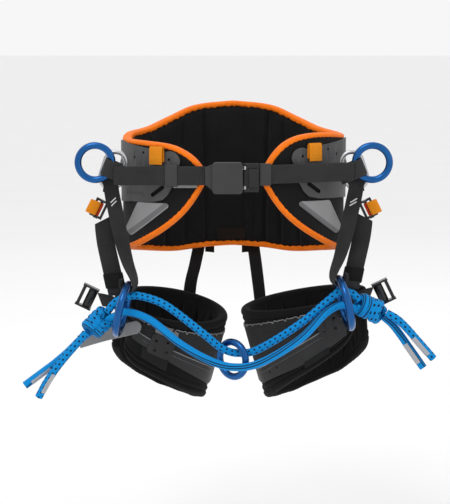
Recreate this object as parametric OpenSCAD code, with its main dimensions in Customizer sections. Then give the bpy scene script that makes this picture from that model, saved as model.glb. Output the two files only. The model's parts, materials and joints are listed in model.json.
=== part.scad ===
// Tree climber's sit harness: padded waist belt, two riser straps with
// rings, two padded leg loops and a double rope bridge with a sliding ring.
// Millimetres. +X is the wearer's left hand side seen from the front,
// +Y points to the back, +Z is up. The origin is on the waist's axis.

/* [Belt] */
// Half width of the padded wrap, side to side
belt_half_width = 168; // [155:1:180]
// Half depth of the padded wrap, front to back
belt_half_depth = 124; // [115:1:132]
// Thickness of the foam core
foam_t = 9; // [6:0.5:10]
// Thickness of the inner lining
lining_t = 2.6; // [1.5:0.1:3]
// Thickness of the outer shell
shell_t = 2.7; // [1.5:0.1:2.7]
// Radius of the rounded edge binding
binding_r = 4.6; // [3.5:0.1:5]

/* [Webbing] */
// Width of the front strap and of the ring loops
strap_w = 28; // [24:1:29]
// Thickness of the webbing
strap_t = 2.4; // [1.6:0.1:2.6]
// Width of the front riser webbing
riser_w = 23; // [18:1:25]
// Width of the rear riser webbing
riser_rear_w = 27; // [20:1:28]

/* [Rings] */
// Mean radius of the side rings
side_ring_r = 25.5; // [25:0.5:26]
// Section radius of the side rings
side_ring_bar = 5.25; // [4.5:0.25:5.25]
// Mean radius of the bridge rings
bridge_ring_r = 37.5; // [37:0.5:38]
// Section radius of the bridge rings
bridge_ring_bar = 5.75; // [5:0.25:5.75]
// Mean radius of the sliding centre ring
centre_ring_r = 26; // [26:0.5:27]
// Section radius of the centre ring
centre_ring_bar = 5.25; // [4.5:0.25:5.25]

/* [Ropes] */
// Diameter of both bridge ropes
rope_d = 12; // [10:0.5:12]

/* [Leg loops] */
// Half width of the left and right leg pads
leg_half_width = [91, 101]; // [88:1:102]
// Half depth of the leg pads
leg_half_depth = 80; // [76:1:82]
// Wall thickness of the leg pads
leg_t = 14; // [9:1:15]
// Mean height of the left and right leg pads

/* [Hidden] */

gap = 0.35;        // clearance between pieces that don't touch
left = 0;
right = 1;
sign = [-1, 1];    // the left pieces lie at negative X

// ---- curves and swept solids -------------------------------------------

// Smooth curve through points of any dimension, n steps for each span
function catmull(a, b, c, d, u) =
    0.5 * (2 * b + (c - a) * u + (2 * a - 5 * b + 4 * c - d) * u * u
    + (3 * b - a - 3 * c + d) * u * u * u);
function smooth(p, n) = concat(
    [for (i = [0:len(p) - 2], k = [0:n - 1])
        catmull(p[max(i - 1, 0)], p[i], p[i + 1], p[min(i + 2, len(p) - 1)], k / n)],
    [p[len(p) - 1]]);

// Height at x on a smooth profile of [x, height] points
function span_of(p, x, i = 0) = i >= len(p) - 2 || x < p[i + 1][0] ? i : span_of(p, x, i + 1);
function profile(p, x) = let (
    i = span_of(p, x),
    u = (x - p[i][0]) / (p[i + 1][0] - p[i][0]),
    s0 = (p[min(i + 1, len(p) - 1)][1] - p[max(i - 1, 0)][1])
        / (p[min(i + 1, len(p) - 1)][0] - p[max(i - 1, 0)][0]),
    s1 = (p[min(i + 2, len(p) - 1)][1] - p[i][1]) / (p[min(i + 2, len(p) - 1)][0] - p[i][0]),
    w = p[i + 1][0] - p[i][0])
    (2 * u * u * u - 3 * u * u + 1) * p[i][1] + (u * u * u - 2 * u * u + u) * w * s0
    + (3 * u * u - 2 * u * u * u) * p[i + 1][1] + (u * u * u - u * u) * w * s1;

function unit(v) = v / norm(v);
function xyz(v) = [v[0], v[1], v[2]];
function along(p, i) = unit(xyz(p[min(i + 1, len(p) - 1)]) - xyz(p[max(i - 1, 0)]));

// Closed solid through a row of rings of points; loop joins the last to the first
module skin(rings, loop = false) {
    m = len(rings[0]);
    n = len(rings);
    steps = loop ? n : n - 1;
    sides = [for (i = [0:steps - 1], j = [0:m - 1], h = [0, 1]) let (
        a = i * m + j,
        b = i * m + (j + 1) % m,
        c = ((i + 1) % n) * m + (j + 1) % m,
        d = ((i + 1) % n) * m + j)
        h == 0 ? [a, b, c] : [a, c, d]];
    ends = loop ? [] : concat(
        [for (j = [1:m - 2]) [0, j + 1, j]],
        [for (j = [1:m - 2]) let (k = (n - 1) * m) [k, k + j, k + j + 1]]);
    polyhedron(points = [for (r = rings) each r], faces = concat(sides, ends));
}

// Flat webbing along keys of [x, y, z, wx, wy, wz]: a place and its width direction
module ribbon(keys, w, t, n = 4) {
    p = smooth(keys, n);
    skin([for (i = [0:len(p) - 1]) let (
        across = unit([p[i][3], p[i][4], p[i][5]]),
        up = unit(cross(along(p, i), across)))
        [for (c = [[-1, -1], [-1, 1], [1, 1], [1, -1]])
            xyz(p[i]) + across * c[0] * w / 2 + up * c[1] * t / 2]]);
}

// Round rope along points; up is a direction that the rope never follows
module rope(points, d, up, n = 3, sides = 8) {
    p = smooth(points, n);
    skin([for (i = [0:len(p) - 1]) let (
        across = unit(cross(along(p, i), up)),
        over = cross(across, along(p, i)))
        [for (k = [0:sides - 1]) let (a = 360 * k / sides)
            p[i] + (across * cos(a) - over * sin(a)) * d / 2]]);
}

module torus(mean_r, bar_r) rotate_extrude($fn = 72) translate([mean_r, 0]) circle(bar_r, $fn = 32);

module sided(side) {
    if (side == left) mirror([1, 0, 0]) children();
    else children();
}

// ---- belt ----------------------------------------------------------------

// The belt is a C in plan: angle 0 is the middle of the back
belt_end = 163;
belt_steps = 52;
// Top and bottom edges as [angle, height]; the top has a left and a right front half
belt_top_left = [[0, 111], [22, 104], [38, 87], [55, 72], [80, 66], [98, 60],
    [130, 58], [146, 54], [155, 44], [160, 33], [163, 22]];
belt_top_right = [[0, 111], [22, 104], [38, 87], [55, 72], [80, 66], [98, 66],
    [128, 71], [144, 68], [153, 58], [159, 42], [163, 24]];
belt_bottom = [[0, -124], [18, -127], [36, -131], [60, -125], [90, -115], [115, -104],
    [131, -88], [143, -70], [152, -50], [158, -30], [163, -8]];

function belt_z(a, edge) = edge == 0 ? profile(belt_bottom, abs(a)) + binding_r
    : profile(a < 0 ? belt_top_left : belt_top_right, abs(a)) - binding_r;
function belt_at(a, out, z) = [(belt_half_width + out) * sin(a), (belt_half_depth + out) * cos(a), z];
function belt_angle(x, out = 0) = 180 - asin(x / (belt_half_width + out));
function belt_row(n = belt_steps, a = belt_end) = [for (i = [0:n]) a * (2 * i / n - 1)];

// One layer of the belt between two offsets from its middle surface; edge is
// how far it stops short of the middle of the binding
module belt_layer(inner, outer, edge = 0, end = belt_end) skin([for (a = belt_row(a = end)) let (
    low = belt_z(a, 0) + edge,
    high = belt_z(a, 1) - edge)
    [belt_at(a, inner, low), belt_at(a, inner, high), belt_at(a, outer, high), belt_at(a, outer, low)]]);

module belt_shell() color("#1c1c1e") belt_layer(gap, gap + shell_t);
module belt_foam() color("#4a4a4a") belt_layer(-foam_t, 0, binding_r + gap, belt_end - 2.5);
module belt_lining() color("#141416") belt_layer(-foam_t - gap - lining_t, -foam_t - gap);

// Binding: a round bead along the top edge from end to end and back along the bottom
binding_out = (shell_t - foam_t - lining_t) / 2;
binding_line = concat(
    [for (a = belt_row(44)) belt_at(a, binding_out, belt_z(a, 1))],
    [belt_at(belt_end + 1, binding_out, (belt_z(belt_end, 0) + belt_z(belt_end, 1)) / 2)],
    [for (a = belt_row(44)) belt_at(-a, binding_out, belt_z(-a, 0))],
    [belt_at(-belt_end - 1, binding_out, (belt_z(-belt_end, 0) + belt_z(-belt_end, 1)) / 2)]);
module belt_binding() color("#f5821f") {
    n = len(binding_line);
    skin([for (i = [0:n - 1]) let (
        p = binding_line[i],
        t = unit(binding_line[(i + 1) % n] - binding_line[(i + n - 1) % n]),
        out = unit([p[0] / belt_half_width, p[1] / belt_half_depth, 0]),
        side = unit(cross(t, out)),
        face = cross(side, t))
        [for (k = [0:7]) p - (side * cos(45 * k) + face * sin(45 * k)) * binding_r]], loop = true);
}

// Load bearing webbing sewn round the outside of the belt, between the hip rings
module back_webbing() color("#2b2b2d") skin([for (a = belt_row(40, 98)) let (z = 4)
    [belt_at(a, shell_t + 2 * gap, z - 22), belt_at(a, shell_t + 2 * gap, z + 22),
     belt_at(a, shell_t + 2 * gap + 2.4, z + 22), belt_at(a, shell_t + 2 * gap + 2.4, z - 22)]]);

// Curved sheet that lies on the outside of a front wing of the belt
module wing_sheet(inner, outer, from = 99, to = 161, n = 12) skin([for (i = [0:n]) let (
    a = from + (to - from) * i / n)
    [belt_at(a, inner, -115), belt_at(a, inner, 75), belt_at(a, outer, 75), belt_at(a, outer, -115)]]);

// Extrudes an outline drawn in X and Z through the whole front half
module through_front() rotate([90, 0, 0]) linear_extrude(height = 160) children();

// Places a cylinder's axis square to the wing at distance x from the middle
module on_wing(x, z, out) {
    a = belt_angle(x);
    n = [sin(a) / belt_half_width, cos(a) / belt_half_depth];
    translate(belt_at(a, out, z)) rotate([0, 0, atan2(n[1], n[0])]) rotate([0, 90, 0]) children();
}

plate_in = 2 * gap + shell_t;
plate_t = 3;
plate_holes = [[93.5, 32.5], [131, 41], [144, 33]];
plate_hole_r = 2.1;
plate_slot = [[121, -21], [106, -9]];
plate_shift = [[0, 0], [6, 5]];     // the right wing's plate sits a little further out and up
patch_shift = [[0, 0], [0, 3]];     // and so does its corner patch
// Hip plate: a lobe on each side of the tag loop and a hooked lower edge
module hip_plate(side) color("#4b4b4d") sided(side) difference() {
    intersection() {
        wing_sheet(plate_in, plate_in + plate_t);
        through_front() translate(plate_shift[side]) offset(r = 4) offset(delta = -4) union() {
            translate([94.5, 30]) circle(15, $fn = 48);
            polygon([[88, -2], [98, -20], [106, -28], [122, -32], [156, -34], [174, -38],
                [174, 58], [158, 53], [137, 49.5], [126, 48], [122, 38], [110, 26], [84, 20]]);
        }
    }
    for (h = plate_holes) on_wing(h[0] + plate_shift[side][0], h[1] + plate_shift[side][1], 0)
        cylinder(h = 20, r = plate_hole_r, $fn = 32);
    through_front() translate(plate_shift[side]) hull() for (p = plate_slot) translate(p) circle(3, $fn = 24);
}

// Soft grey hip patch: a rounded triangle below the hip plate
patch_corners = [[98.5, -36.5], [138, -37.5], [156, -77], [152, -82]];
module hip_patch(side) color("#8c8c8e") sided(side) intersection() {
    wing_sheet(plate_in, plate_in + 2);
    through_front() translate(patch_shift[side]) hull() for (p = patch_corners) translate(p) circle(4, $fn = 24);
}

// Folded webbing tag on the wing, open at both sides
tag_x = [108, 113.5];
tag_z = [25, 30];
module tag_loop(side) {
    a = belt_angle(tag_x[side]);
    t = [cos(a) * belt_half_width, -sin(a) * belt_half_depth, 0];
    sheet = [[4.5, 4], [4.6, 18], [5.2, 24], [7, 26.5], [8.8, 24], [9.2, 17], [9.4, 0]];
    color("#f59a1f") sided(side) translate([0, 0, tag_z[side]]) ribbon(
        [for (p = sheet) concat(belt_at(a, plate_t + p[0], p[1]), t)], 23, 1.8, 3);
}

// ---- front strap and buckle -----------------------------------------------

strap_near = [38, -131, 11.5];   // where the webbing meets the buckle
strap_far = [178, -105, 11.5]; // where it lies on the side ring's loop
strap_rise = 0.018;              // the strap climbs a little to the right
strap_dir = unit(strap_far - strap_near);
function strap_point(side, x) = let (p = strap_near + (x - 38) / 140 * (strap_far - strap_near))
    [sign[side] * p[0], p[1], p[2] + strap_rise * sign[side] * x];
function flat_key(p) = concat(p, [0, 0, 1]);

module front_strap(side) color("#3a3a3c") ribbon(
    [for (x = side == left ? [36, 178] : [38, 178]) flat_key(strap_point(side, x))], strap_w, strap_t, 1);

// Keepers: closed sleeves that slide along the strap
keeper_x = [92, 46];
keeper_l = [18, 17];
module strap_keeper(side) color("#2e2e30") translate(strap_point(side, keeper_x[side]))
    rotate([0, 0, sign[side] * atan2(strap_dir[1], strap_dir[0])]) difference() {
        cube([keeper_l[side], strap_t + 4.2, strap_w + 4.6], center = true);
        cube([40, strap_t + 0.8, strap_w + 2], center = true);
    }

// Front buckle: a metal body with a hinge lug under a soft moulded cover
cover_x = [-31.5, 13];
cover_z = [-15.5, 30.5];
cover_y = [-141, -127];
hinge_at = [15.8, -134];
hinge_pin_r = 1.5;
hinge_r = 2.9;
frame_z = [-13, 29];
lug_z = [-9, 20];    // the two lugs stand on these heights and are lug_h tall
lug_h = 5;

module cover_outline(inset) offset(r = 5 - inset) polygon([
    [cover_x[0] + 5, cover_z[0] + 5], [cover_x[1] - 5, cover_z[0] + 5],
    [cover_x[1] - 5, cover_z[1] - 5], [cover_x[0] + 5, cover_z[1] - 5]]);
module buckle_cover() color("#5d5d60") difference() {
    translate([0, cover_y[1], 0]) rotate([90, 0, 0]) union() {
        linear_extrude(height = 14) cover_outline(0);
        translate([0, 0, 3.5]) linear_extrude(height = 6) polygon([[-42, -2], [-30, -12], [-30, 28], [-42, 23]]);
    }
    translate([0, -129.5, 0]) rotate([90, 0, 0]) linear_extrude(height = 9) cover_outline(2.5);
    // strap entry and the way out for the hinge lugs
    translate([-60, -133, -4.5]) cube([40, 4.2, 30]);
    translate([5, -137.8, frame_z[0] - 0.5]) cube([20, 7.6, frame_z[1] - frame_z[0] + 1]);
}
module buckle_body() color("#8f9194") {
    translate([-27, -136, -10]) cube([39, 3, 36]);
    for (z = lug_z) translate([hinge_at[0], hinge_at[1], z]) {
        cylinder(h = lug_h, r = hinge_r, $fn = 32);
        translate([-6, -2, 0]) cube([6, 3, lug_h]);
    }
    translate([hinge_at[0], hinge_at[1], lug_z[0]]) cylinder(h = lug_z[1] - lug_z[0] + lug_h, r = hinge_pin_r, $fn = 32);
}
// Adjuster: a frame with a bar that the webbing turns round, on the body's hinge pin
module adjuster_frame() color("#2a2a2c") {
    difference() {
        union() {
            translate([hinge_at[0], -136.2, frame_z[0]]) cube([20.9, 4.4, frame_z[1] - frame_z[0]]);
            translate([hinge_at[0], hinge_at[1], frame_z[0]])
                cylinder(h = frame_z[1] - frame_z[0], r = hinge_r, $fn = 32);
        }
        translate([20.5, -140, -7]) cube([12, 12, 29]);
        translate([hinge_at[0], hinge_at[1], -14]) cylinder(h = 44, r = hinge_pin_r + 0.06, $fn = 32);
        for (z = lug_z) translate([hinge_at[0] - 4, -139, z - gap]) cube([7.4, 10, lug_h + 2 * gap]);
    }
    translate([26, -134, -8]) cylinder(h = 31, r = 2, $fn = 32);
}
// The webbing's turn round the adjuster's bar
module adjuster_webbing() color("#3a3a3c") translate([0, 0, 7.6]) ribbon(
    [for (p = [[31.8, -130.6], [29, -130.5], [26, -130.2], [22.8, -131.6], [21.9, -134], [22.8, -136.4],
        [26, -137.9], [30, -138], [36.2, -138]]) [p[0], p[1], 0, 0, 0, 1]], 27.5, 1.4, 2);

// ---- rings and ring loops -------------------------------------------------

side_ring_at = [206.5, -92, 27];
grip_angle = 22;     // the webbing holds the ring this far below its middle
grip_r = side_ring_r - 1.7;
grip_at = side_ring_at - grip_r * [cos(grip_angle), 0, sin(grip_angle)];
grip_in = [-cos(grip_angle), 0, -sin(grip_angle)];
grip_axis = [sin(grip_angle), 0, -cos(grip_angle)];
loop_r = 10;
module side_ring(side) color("#0f4f9c") sided(side) translate(side_ring_at) rotate([90, 0, 0])
    torus(side_ring_r, side_ring_bar);
// Loop path as [towards the belt, towards the back] from the grip axis
loop_path = concat([[30, -loop_r], [16, -loop_r], [5, -loop_r]],
    [for (a = [0:22.5:180]) [-loop_r * sin(a), -loop_r * cos(a)]], [[5, loop_r], [16, loop_r]]);
module side_loop(side) color("#343436") sided(side) ribbon(
    [for (p = loop_path) concat(grip_at + grip_in * p[0] + [0, p[1], 0], grip_axis)], strap_w - 2, strap_t, 1);

// Hip ring: an oval link of round bar behind the side ring's loop
hip_ring_at = [181, -72, 14];
hip_ring_half = [16, 12];
hip_ring_bar = 3.5;
hip_ring_tilt = -18;
module hip_ring(side) color("#a9abad") sided(side) translate(hip_ring_at)
    rotate([0, hip_ring_tilt, 0]) rotate([90, 0, 0]) {
        for (s = [0, 180]) rotate([0, 0, s]) {
            translate([0, hip_ring_half[1], 0]) rotate_extrude(angle = 180, $fn = 48)
                translate([hip_ring_half[0], 0]) circle(hip_ring_bar, $fn = 24);
            translate([hip_ring_half[0], -hip_ring_half[1], 0]) rotate([-90, 0, 0])
                cylinder(h = 2 * hip_ring_half[1], r = hip_ring_bar, $fn = 24);
        }
    }

// Bridge rings hang edge-on below the risers, their tops leaning inwards
bridge_z = [-190, -181];
bridge_y = -115;
bridge_x = 165.5;
bridge_lean = 13;
bridge_turn = 6;
module bridge_ring(side) color("#0f4f9c") sided(side) translate([bridge_x, bridge_y, bridge_z[side]])
    rotate([0, -bridge_lean, bridge_turn]) rotate([0, 90, 0]) torus(bridge_ring_r, bridge_ring_bar);

centre_ring_at = [-1.5, -135, -262.5];
module centre_ring() color("#0f4f9c") translate(centre_ring_at) rotate([0, 0, -43]) rotate([90, 0, 0])
    torus(centre_ring_r, centre_ring_bar);

// ---- riser straps -----------------------------------------------------------

function lower(p, side) = [p[0], p[1], p[2] + (side == left ? (p[2] < -100 ? -9 : -9 * max(0, -p[2]) / 100) : 0),
    p[3], p[4], p[5]];
// Front riser: over the hip ring's lower bar, down, and under the bridge ring's top bar
riser_front_keys = [
    [186, -64, -18, 1, 0, 0], [185, -64.5, -4, 1, 0, 0], [184.5, -68.5, 4.5, 1, 0, 0],
    [184.5, -75.5, 4.5, 1, 0, 0], [184.5, -79, -4, 1, 0, 0], [183, -80, -16, 1, 0, 0],
    [178, -83, -40, 1, -0.2, -0.1], [169, -91, -78, 1, -0.4, -0.1], [159, -101, -112, 0.8, -0.7, 0],
    [149.5, -111, -134, 0.5, -0.9, 0], [147, -114, -146, 0.3, -1, 0], [150.5, -115, -153.1, 0.2, -1, 0],
    [160, -115, -154.1, 0.2, -1, 0], [167, -115, -147, 0.2, -1, 0], [167.5, -113, -136, 0.2, -1, 0]];
module riser_front(side) color("#333335") sided(side)
    ribbon([for (k = riser_front_keys) lower(k, side)], riser_w, strap_t, 3);
// Rear riser: from the adjuster buckle down to its sleeve and folded end
riser_rear_keys = [[197, -76, -56, 1, -0.15, -0.5], [195.5, -77, -68, 1, -0.1, -0.3],
    [192, -80, -90, 1, -0.1, -0.15], [185, -88, -119, 1, -0.1, -0.15], [179.5, -96, -140, 1, -0.1, -0.1],
    [177.5, -98.5, -150, 1, -0.1, -0.1]];
module riser_rear(side) color("#3b3b3d") sided(side) {
    ribbon([for (k = riser_rear_keys) lower(k, side)], riser_rear_w, strap_t, 3);
}

// Riser adjuster: a steel frame on the hip ring with a pin that carries the tab
riser_buckle_at = [203, -70, -44];
riser_buckle_turn = 64;   // the bar runs down and outwards
riser_pin = [0, -7, 0];
riser_pin_r = 1.8;
module riser_buckle(side) color("#242426") sided(side) translate(riser_buckle_at) rotate([0, riser_buckle_turn, 0]) {
    difference() {
        translate([-14.5, -2, -10]) cube([29, 4, 20]);
        translate([-11, -5, -6]) cube([22, 10, 4]);
        translate([-11, -5, 2]) cube([22, 10, 4.5]);
    }
    for (x = [-14.5, 11.5]) translate([x, -9.5, -4]) cube([3, 8, 7]);
    translate([-14.5, riser_pin[1], riser_pin[2] - 0.5]) rotate([0, 90, 0])
        cylinder(h = 29, r = riser_pin_r, $fn = 32);
}
module release_tab(side) color("#f59a1f") sided(side) translate(riser_buckle_at) rotate([0, riser_buckle_turn, 0])
    translate([0, riser_pin[1], riser_pin[2] - 0.5]) {
        rotate([0, 90, 0]) difference() {
            translate([0, 0, -10.5]) cylinder(h = 21, r = 3.9, $fn = 32);
            translate([0, 0, -12]) cylinder(h = 24, r = riser_pin_r + 0.06, $fn = 32);
        }
        rotate([28, 0, 0]) translate([-10.5, -3.6, 2]) cube([21, 2.6, 18]);
    }

// ---- leg loops -----------------------------------------------------------------

leg_at = [[-97, -3, -201], [110, 1, -191]];
leg_roll = [10, 9.6];
leg_pitch = [10, 2];
leg_steps = 40;
// Leg pieces are drawn with the inner side of the thigh at +X
module leg_frame(side) translate(leg_at[side]) {
    if (side == left) rotate([leg_pitch[left], leg_roll[left], 0]) children();
    else mirror([1, 0, 0]) rotate([leg_pitch[right], leg_roll[right], 0]) children();
}
leg_taper = 0.001;              // the pads narrow by this part for each millimetre down
function leg_point(side, a, out, z) = let (s = 1 + leg_taper * min(z, 0))
    [(leg_half_width[side] * s + out) * cos(a), (leg_half_depth * s + out) * sin(a), z];
// A wall round the thigh; top and bottom are tables of angle and height
module leg_wall(side, inner, outer, top, bottom, from, to) {
    n = round(leg_steps * (to - from) / 360);
    skin([for (i = [0:n]) let (
        a = from + (to - from) * i / n,
        tz = lookup(a, top),
        bz = lookup(a, bottom))
        [leg_point(side, a, inner, bz), leg_point(side, a, inner, tz),
         leg_point(side, a, outer, tz), leg_point(side, a, outer, bz)]],
        loop = false);
}
// The pad is open at the outer front, where the strap crosses; its back hangs lower than its front
leg_pad_range = [-138, 176];
leg_pad_bottom = [
    [[-138, -70], [-132, -82], [-120, -90], [-90, -101], [-60, -117], [-30, -132], [0, -146], [30, -160],
     [60, -164], [90, -161], [120, -146], [150, -122], [168, -102], [176, -88]],
    [[-138, -50], [-132, -64], [-120, -77], [-90, -98], [-60, -118], [-30, -138], [0, -150], [30, -158],
     [60, -160], [90, -152], [120, -140], [150, -116], [168, -100], [176, -84]]];
module leg_pad(side) color("#17171a") leg_frame(side)
    leg_wall(side, -leg_t, 0, [[0, 0], [1, 0]], leg_pad_bottom[side], leg_pad_range[0], leg_pad_range[1]);
band_t = 2.2;
leg_band_range = [-124, 50];
leg_band_top = [
    [[-124, -10], [-90, -12], [-50, -19], [0, -28], [50, -28]],
    [[-124, -9], [-97, -11], [-60, -17], [0, -28], [50, -28]]];
leg_band_bottom = [
    [[-124, -42], [-97, -56], [-80, -68], [-53, -88], [-20, -114], [-6, -112], [4, -62], [50, -54]],
    [[-124, -56], [-108, -68], [-77, -90], [-20, -121], [-6, -118], [4, -60], [50, -52]]];
module leg_band(side) color("#2c2c2e") leg_frame(side)
    leg_wall(side, gap, gap + band_t, leg_band_top[side], leg_band_bottom[side], leg_band_range[0], leg_band_range[1]);
// Plate with screw holes on the front of the band
leg_plate_angle = [-92, -107];
leg_plate_z = [-42, -32];
leg_hole_r = 2.1;
module leg_plate(side) color("#3d3d40") leg_frame(side) difference() {
    intersection() {
        leg_wall(side, 2 * gap + band_t, 2 * gap + band_t + 2.4, [[0, 0], [1, 0]], [[0, -110], [1, -110]],
            leg_plate_angle[side] - 27, leg_plate_angle[side] + 27);
        translate([0, 0, leg_plate_z[side]]) rotate([90, 0, 0]) linear_extrude(height = 120) offset(r = 6)
            translate([leg_half_width[side] * cos(leg_plate_angle[side]), 0]) rotate(-14)
                square([26, 24], center = true);
    }
    for (x = [-9, 9], z = [-8, 8]) translate([leg_half_width[side] * cos(leg_plate_angle[side]) + x, -50,
        leg_plate_z[side] + z]) rotate([90, 0, 0]) cylinder(h = 80, r = leg_hole_r, $fn = 32);
}
// Webbing from the leg buckle round the outside of the pad
leg_strap_keys = [
    [[204, -53, -186, 0.35, 0, 1], [195, -57, -187, 0.3, 0, 1], [182, -60.5, -190, 0.25, 0, 1],
     [170, -63.5, -196, 0.2, 0, 1], [158, -66.5, -203, 0.2, 0, 1], [146, -74.5, -210, 0.2, 0, 1]],
    [[210, -53, -177, 0.35, 0, 1], [203, -57, -178, 0.3, 0, 1], [192, -61, -181, 0.25, 0, 1],
     [183, -61.5, -185, 0.2, 0, 1], [174, -64.5, -190, 0.2, 0, 1]]];
leg_tail_keys = [[140, -84, -222, 0.1, 0, 1], [165, -76, -229, 0.15, 0, 1], [200, -72, -238, 0.2, 0, 1],
    [236, -70, -249, 0.25, 0, 1]];
module leg_strap(side) color("#343436") sided(side) {
    ribbon(leg_strap_keys[side], 22, strap_t, 3);
    if (side == left) ribbon(leg_tail_keys, 20, 1.8, 3);
}
// Leg buckle: two cheeks, a cross bar and a pin that carries the roller
leg_buckle_at = [[-220, -44, -185], [226, -44, -177]];
leg_buckle_lean = 26;
roller_r = 7.2;
module leg_buckle_frame(side) translate(leg_buckle_at[side]) rotate([0, sign[side] * -leg_buckle_lean, 0]) children();
module leg_buckle(side) color("#1e1e20") leg_buckle_frame(side) sided(side) {
    for (z = [-17.5, 14.5]) translate([-8, -8, z]) cube([26, 14, 3]);
    translate([12, -7, -14.5]) cube([5, 12, 29]);
    cylinder(h = 32, r = 2.6, center = true, $fn = 32);
}
module leg_roller(side) color("#2b2b2d") leg_buckle_frame(side) difference() {
    cylinder(h = 28, r = roller_r, center = true, $fn = 48);
    cylinder(h = 30, r = 2.66, center = true, $fn = 32);
}
rear_strap_keys = [
    [[-54, 126, -100, 1, 0.1, 0], [-55, 125, -122, 1, 0.1, 0], [-61, 106, -152, 1, 0.1, 0],
     [-68, 86, -180, 1, 0.1, 0], [-71, 77, -206, 1, 0.05, 0]],
    [[32, 132, -100, 1, -0.05, 0], [33, 131, -122, 1, -0.05, 0], [37, 108, -152, 1, -0.1, 0],
     [41, 83, -184, 1, -0.25, 0], [44, 69, -212, 1, -0.4, 0]]];
module rear_strap(side) color("#222224") ribbon(rear_strap_keys[side], 20, strap_t, 3);

// ---- ropes -------------------------------------------------------------------------

dotted_bridge = [[-190, -112, -196], [-176, -110, -180], [-158, -110, -172], [-138, -114, -171], [-101, -124, -183],
    [-49, -133, -221], [-17, -136, -246], [9, -136, -253], [39, -136, -246], [98, -131, -210],
    [143, -117, -175], [158, -110, -165], [176, -110, -167], [188, -112, -178]];
striped_bridge = [[-192, -114, -208], [-178, -117, -201], [-158, -120, -194], [-123, -134, -204],
    [-78, -150, -237], [-34, -160, -260], [2, -167, -268], [41, -165, -261], [97, -150, -230],
    [135, -131, -195], [158, -119, -184], [176, -116, -187], [190, -114, -195]];
dotted_tail_left = [[-221, -116, -226], [-233, -121, -240], [-249, -123, -258], [-265, -122, -278],
    [-280, -119, -300], [-293, -116, -324]];
striped_tail_left = [[-219, -104, -229], [-232, -103, -240], [-250, -103, -258], [-270, -105, -275],
    [-292, -109, -291], [-314, -113, -307]];
dotted_tail_right = [[228, -116, -196], [243, -120, -204], [258, -121, -218], [272, -119, -234],
    [286, -117, -250], [299, -115, -265]];
striped_tail_right = [[224, -104, -203], [237, -104, -214], [249, -104, -229], [261, -106, -246],
    [273, -109, -263], [285, -112, -280]];
knot_at = [[-201, -112, -210], [204, -112, -190]];
knot_lean = [45, 24];
knot_l = 42;
knot_r = 19;
module knot(side) color("#1185d6") translate(knot_at[side]) rotate([0, sign[side] * (90 + knot_lean[side]), 0])
    cylinder(h = knot_l, r = knot_r, center = true, $fn = 40);

module rope_piece(points, up = [0, 0, 1]) color("#1a93e0") rope(points, rope_d, up);

belt_shell();
belt_foam();
belt_lining();
belt_binding();
back_webbing();
hip_plate(left);  // hip_plate_left
hip_plate(right);  // hip_plate_right
hip_patch(left);  // hip_patch_left
hip_patch(right);  // hip_patch_right
tag_loop(left);  // tag_loop_left
tag_loop(right);  // tag_loop_right
front_strap(left);  // front_strap_left
front_strap(right);  // front_strap_right
strap_keeper(left);  // strap_keeper_left
strap_keeper(right);  // strap_keeper_right
buckle_cover();
buckle_body();
adjuster_frame();
adjuster_webbing();
side_ring(left);  // side_ring_left
side_ring(right);  // side_ring_right
side_loop(left);  // side_loop_left
side_loop(right);  // side_loop_right
hip_ring(left);  // hip_ring_left
hip_ring(right);  // hip_ring_right
riser_front(left);  // riser_front_left
riser_front(right);  // riser_front_right
riser_rear(left);  // riser_rear_left
riser_rear(right);  // riser_rear_right
riser_buckle(left);  // riser_buckle_left
riser_buckle(right);  // riser_buckle_right
release_tab(left);  // release_tab_left
release_tab(right);  // release_tab_right
bridge_ring(left);  // bridge_ring_left
bridge_ring(right);  // bridge_ring_right
centre_ring();
leg_pad(left);  // leg_pad_left
leg_pad(right);  // leg_pad_right
leg_band(left);  // leg_band_left
leg_band(right);  // leg_band_right
leg_plate(left);  // leg_plate_left
leg_plate(right);  // leg_plate_right
leg_strap(left);  // leg_strap_left
leg_strap(right);  // leg_strap_right
leg_buckle(left);  // leg_buckle_left
leg_buckle(right);  // leg_buckle_right
leg_roller(left);  // leg_roller_left
leg_roller(right);  // leg_roller_right
rear_strap(left);  // rear_strap_left
rear_strap(right);  // rear_strap_right
rope_piece(dotted_bridge);  // rope_dotted_bridge
rope_piece(striped_bridge);  // rope_striped_bridge
knot(left);  // knot_left
knot(right);  // knot_right
rope_piece(dotted_tail_left, [0, 1, 0]);  // rope_dotted_tail_left
rope_piece(striped_tail_left, [0, 1, 0]);  // rope_striped_tail_left
rope_piece(dotted_tail_right, [0, 1, 0]);  // rope_dotted_tail_right
rope_piece(striped_tail_right, [0, 1, 0]);  // rope_striped_tail_right
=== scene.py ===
# %% [markdown]
# # A tree climber's sit harness
# The harness is a padded waist belt, two padded leg loops, and the webbing, rings and
# ropes that join them. Its sizes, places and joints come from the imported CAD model,
# which stays fixed. This file dresses that model in cloth, webbing, rope, metal and
# moulded plastic. Everything is in metres, and the wearer looks towards -Y.

# %% Load the frame
import json

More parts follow.
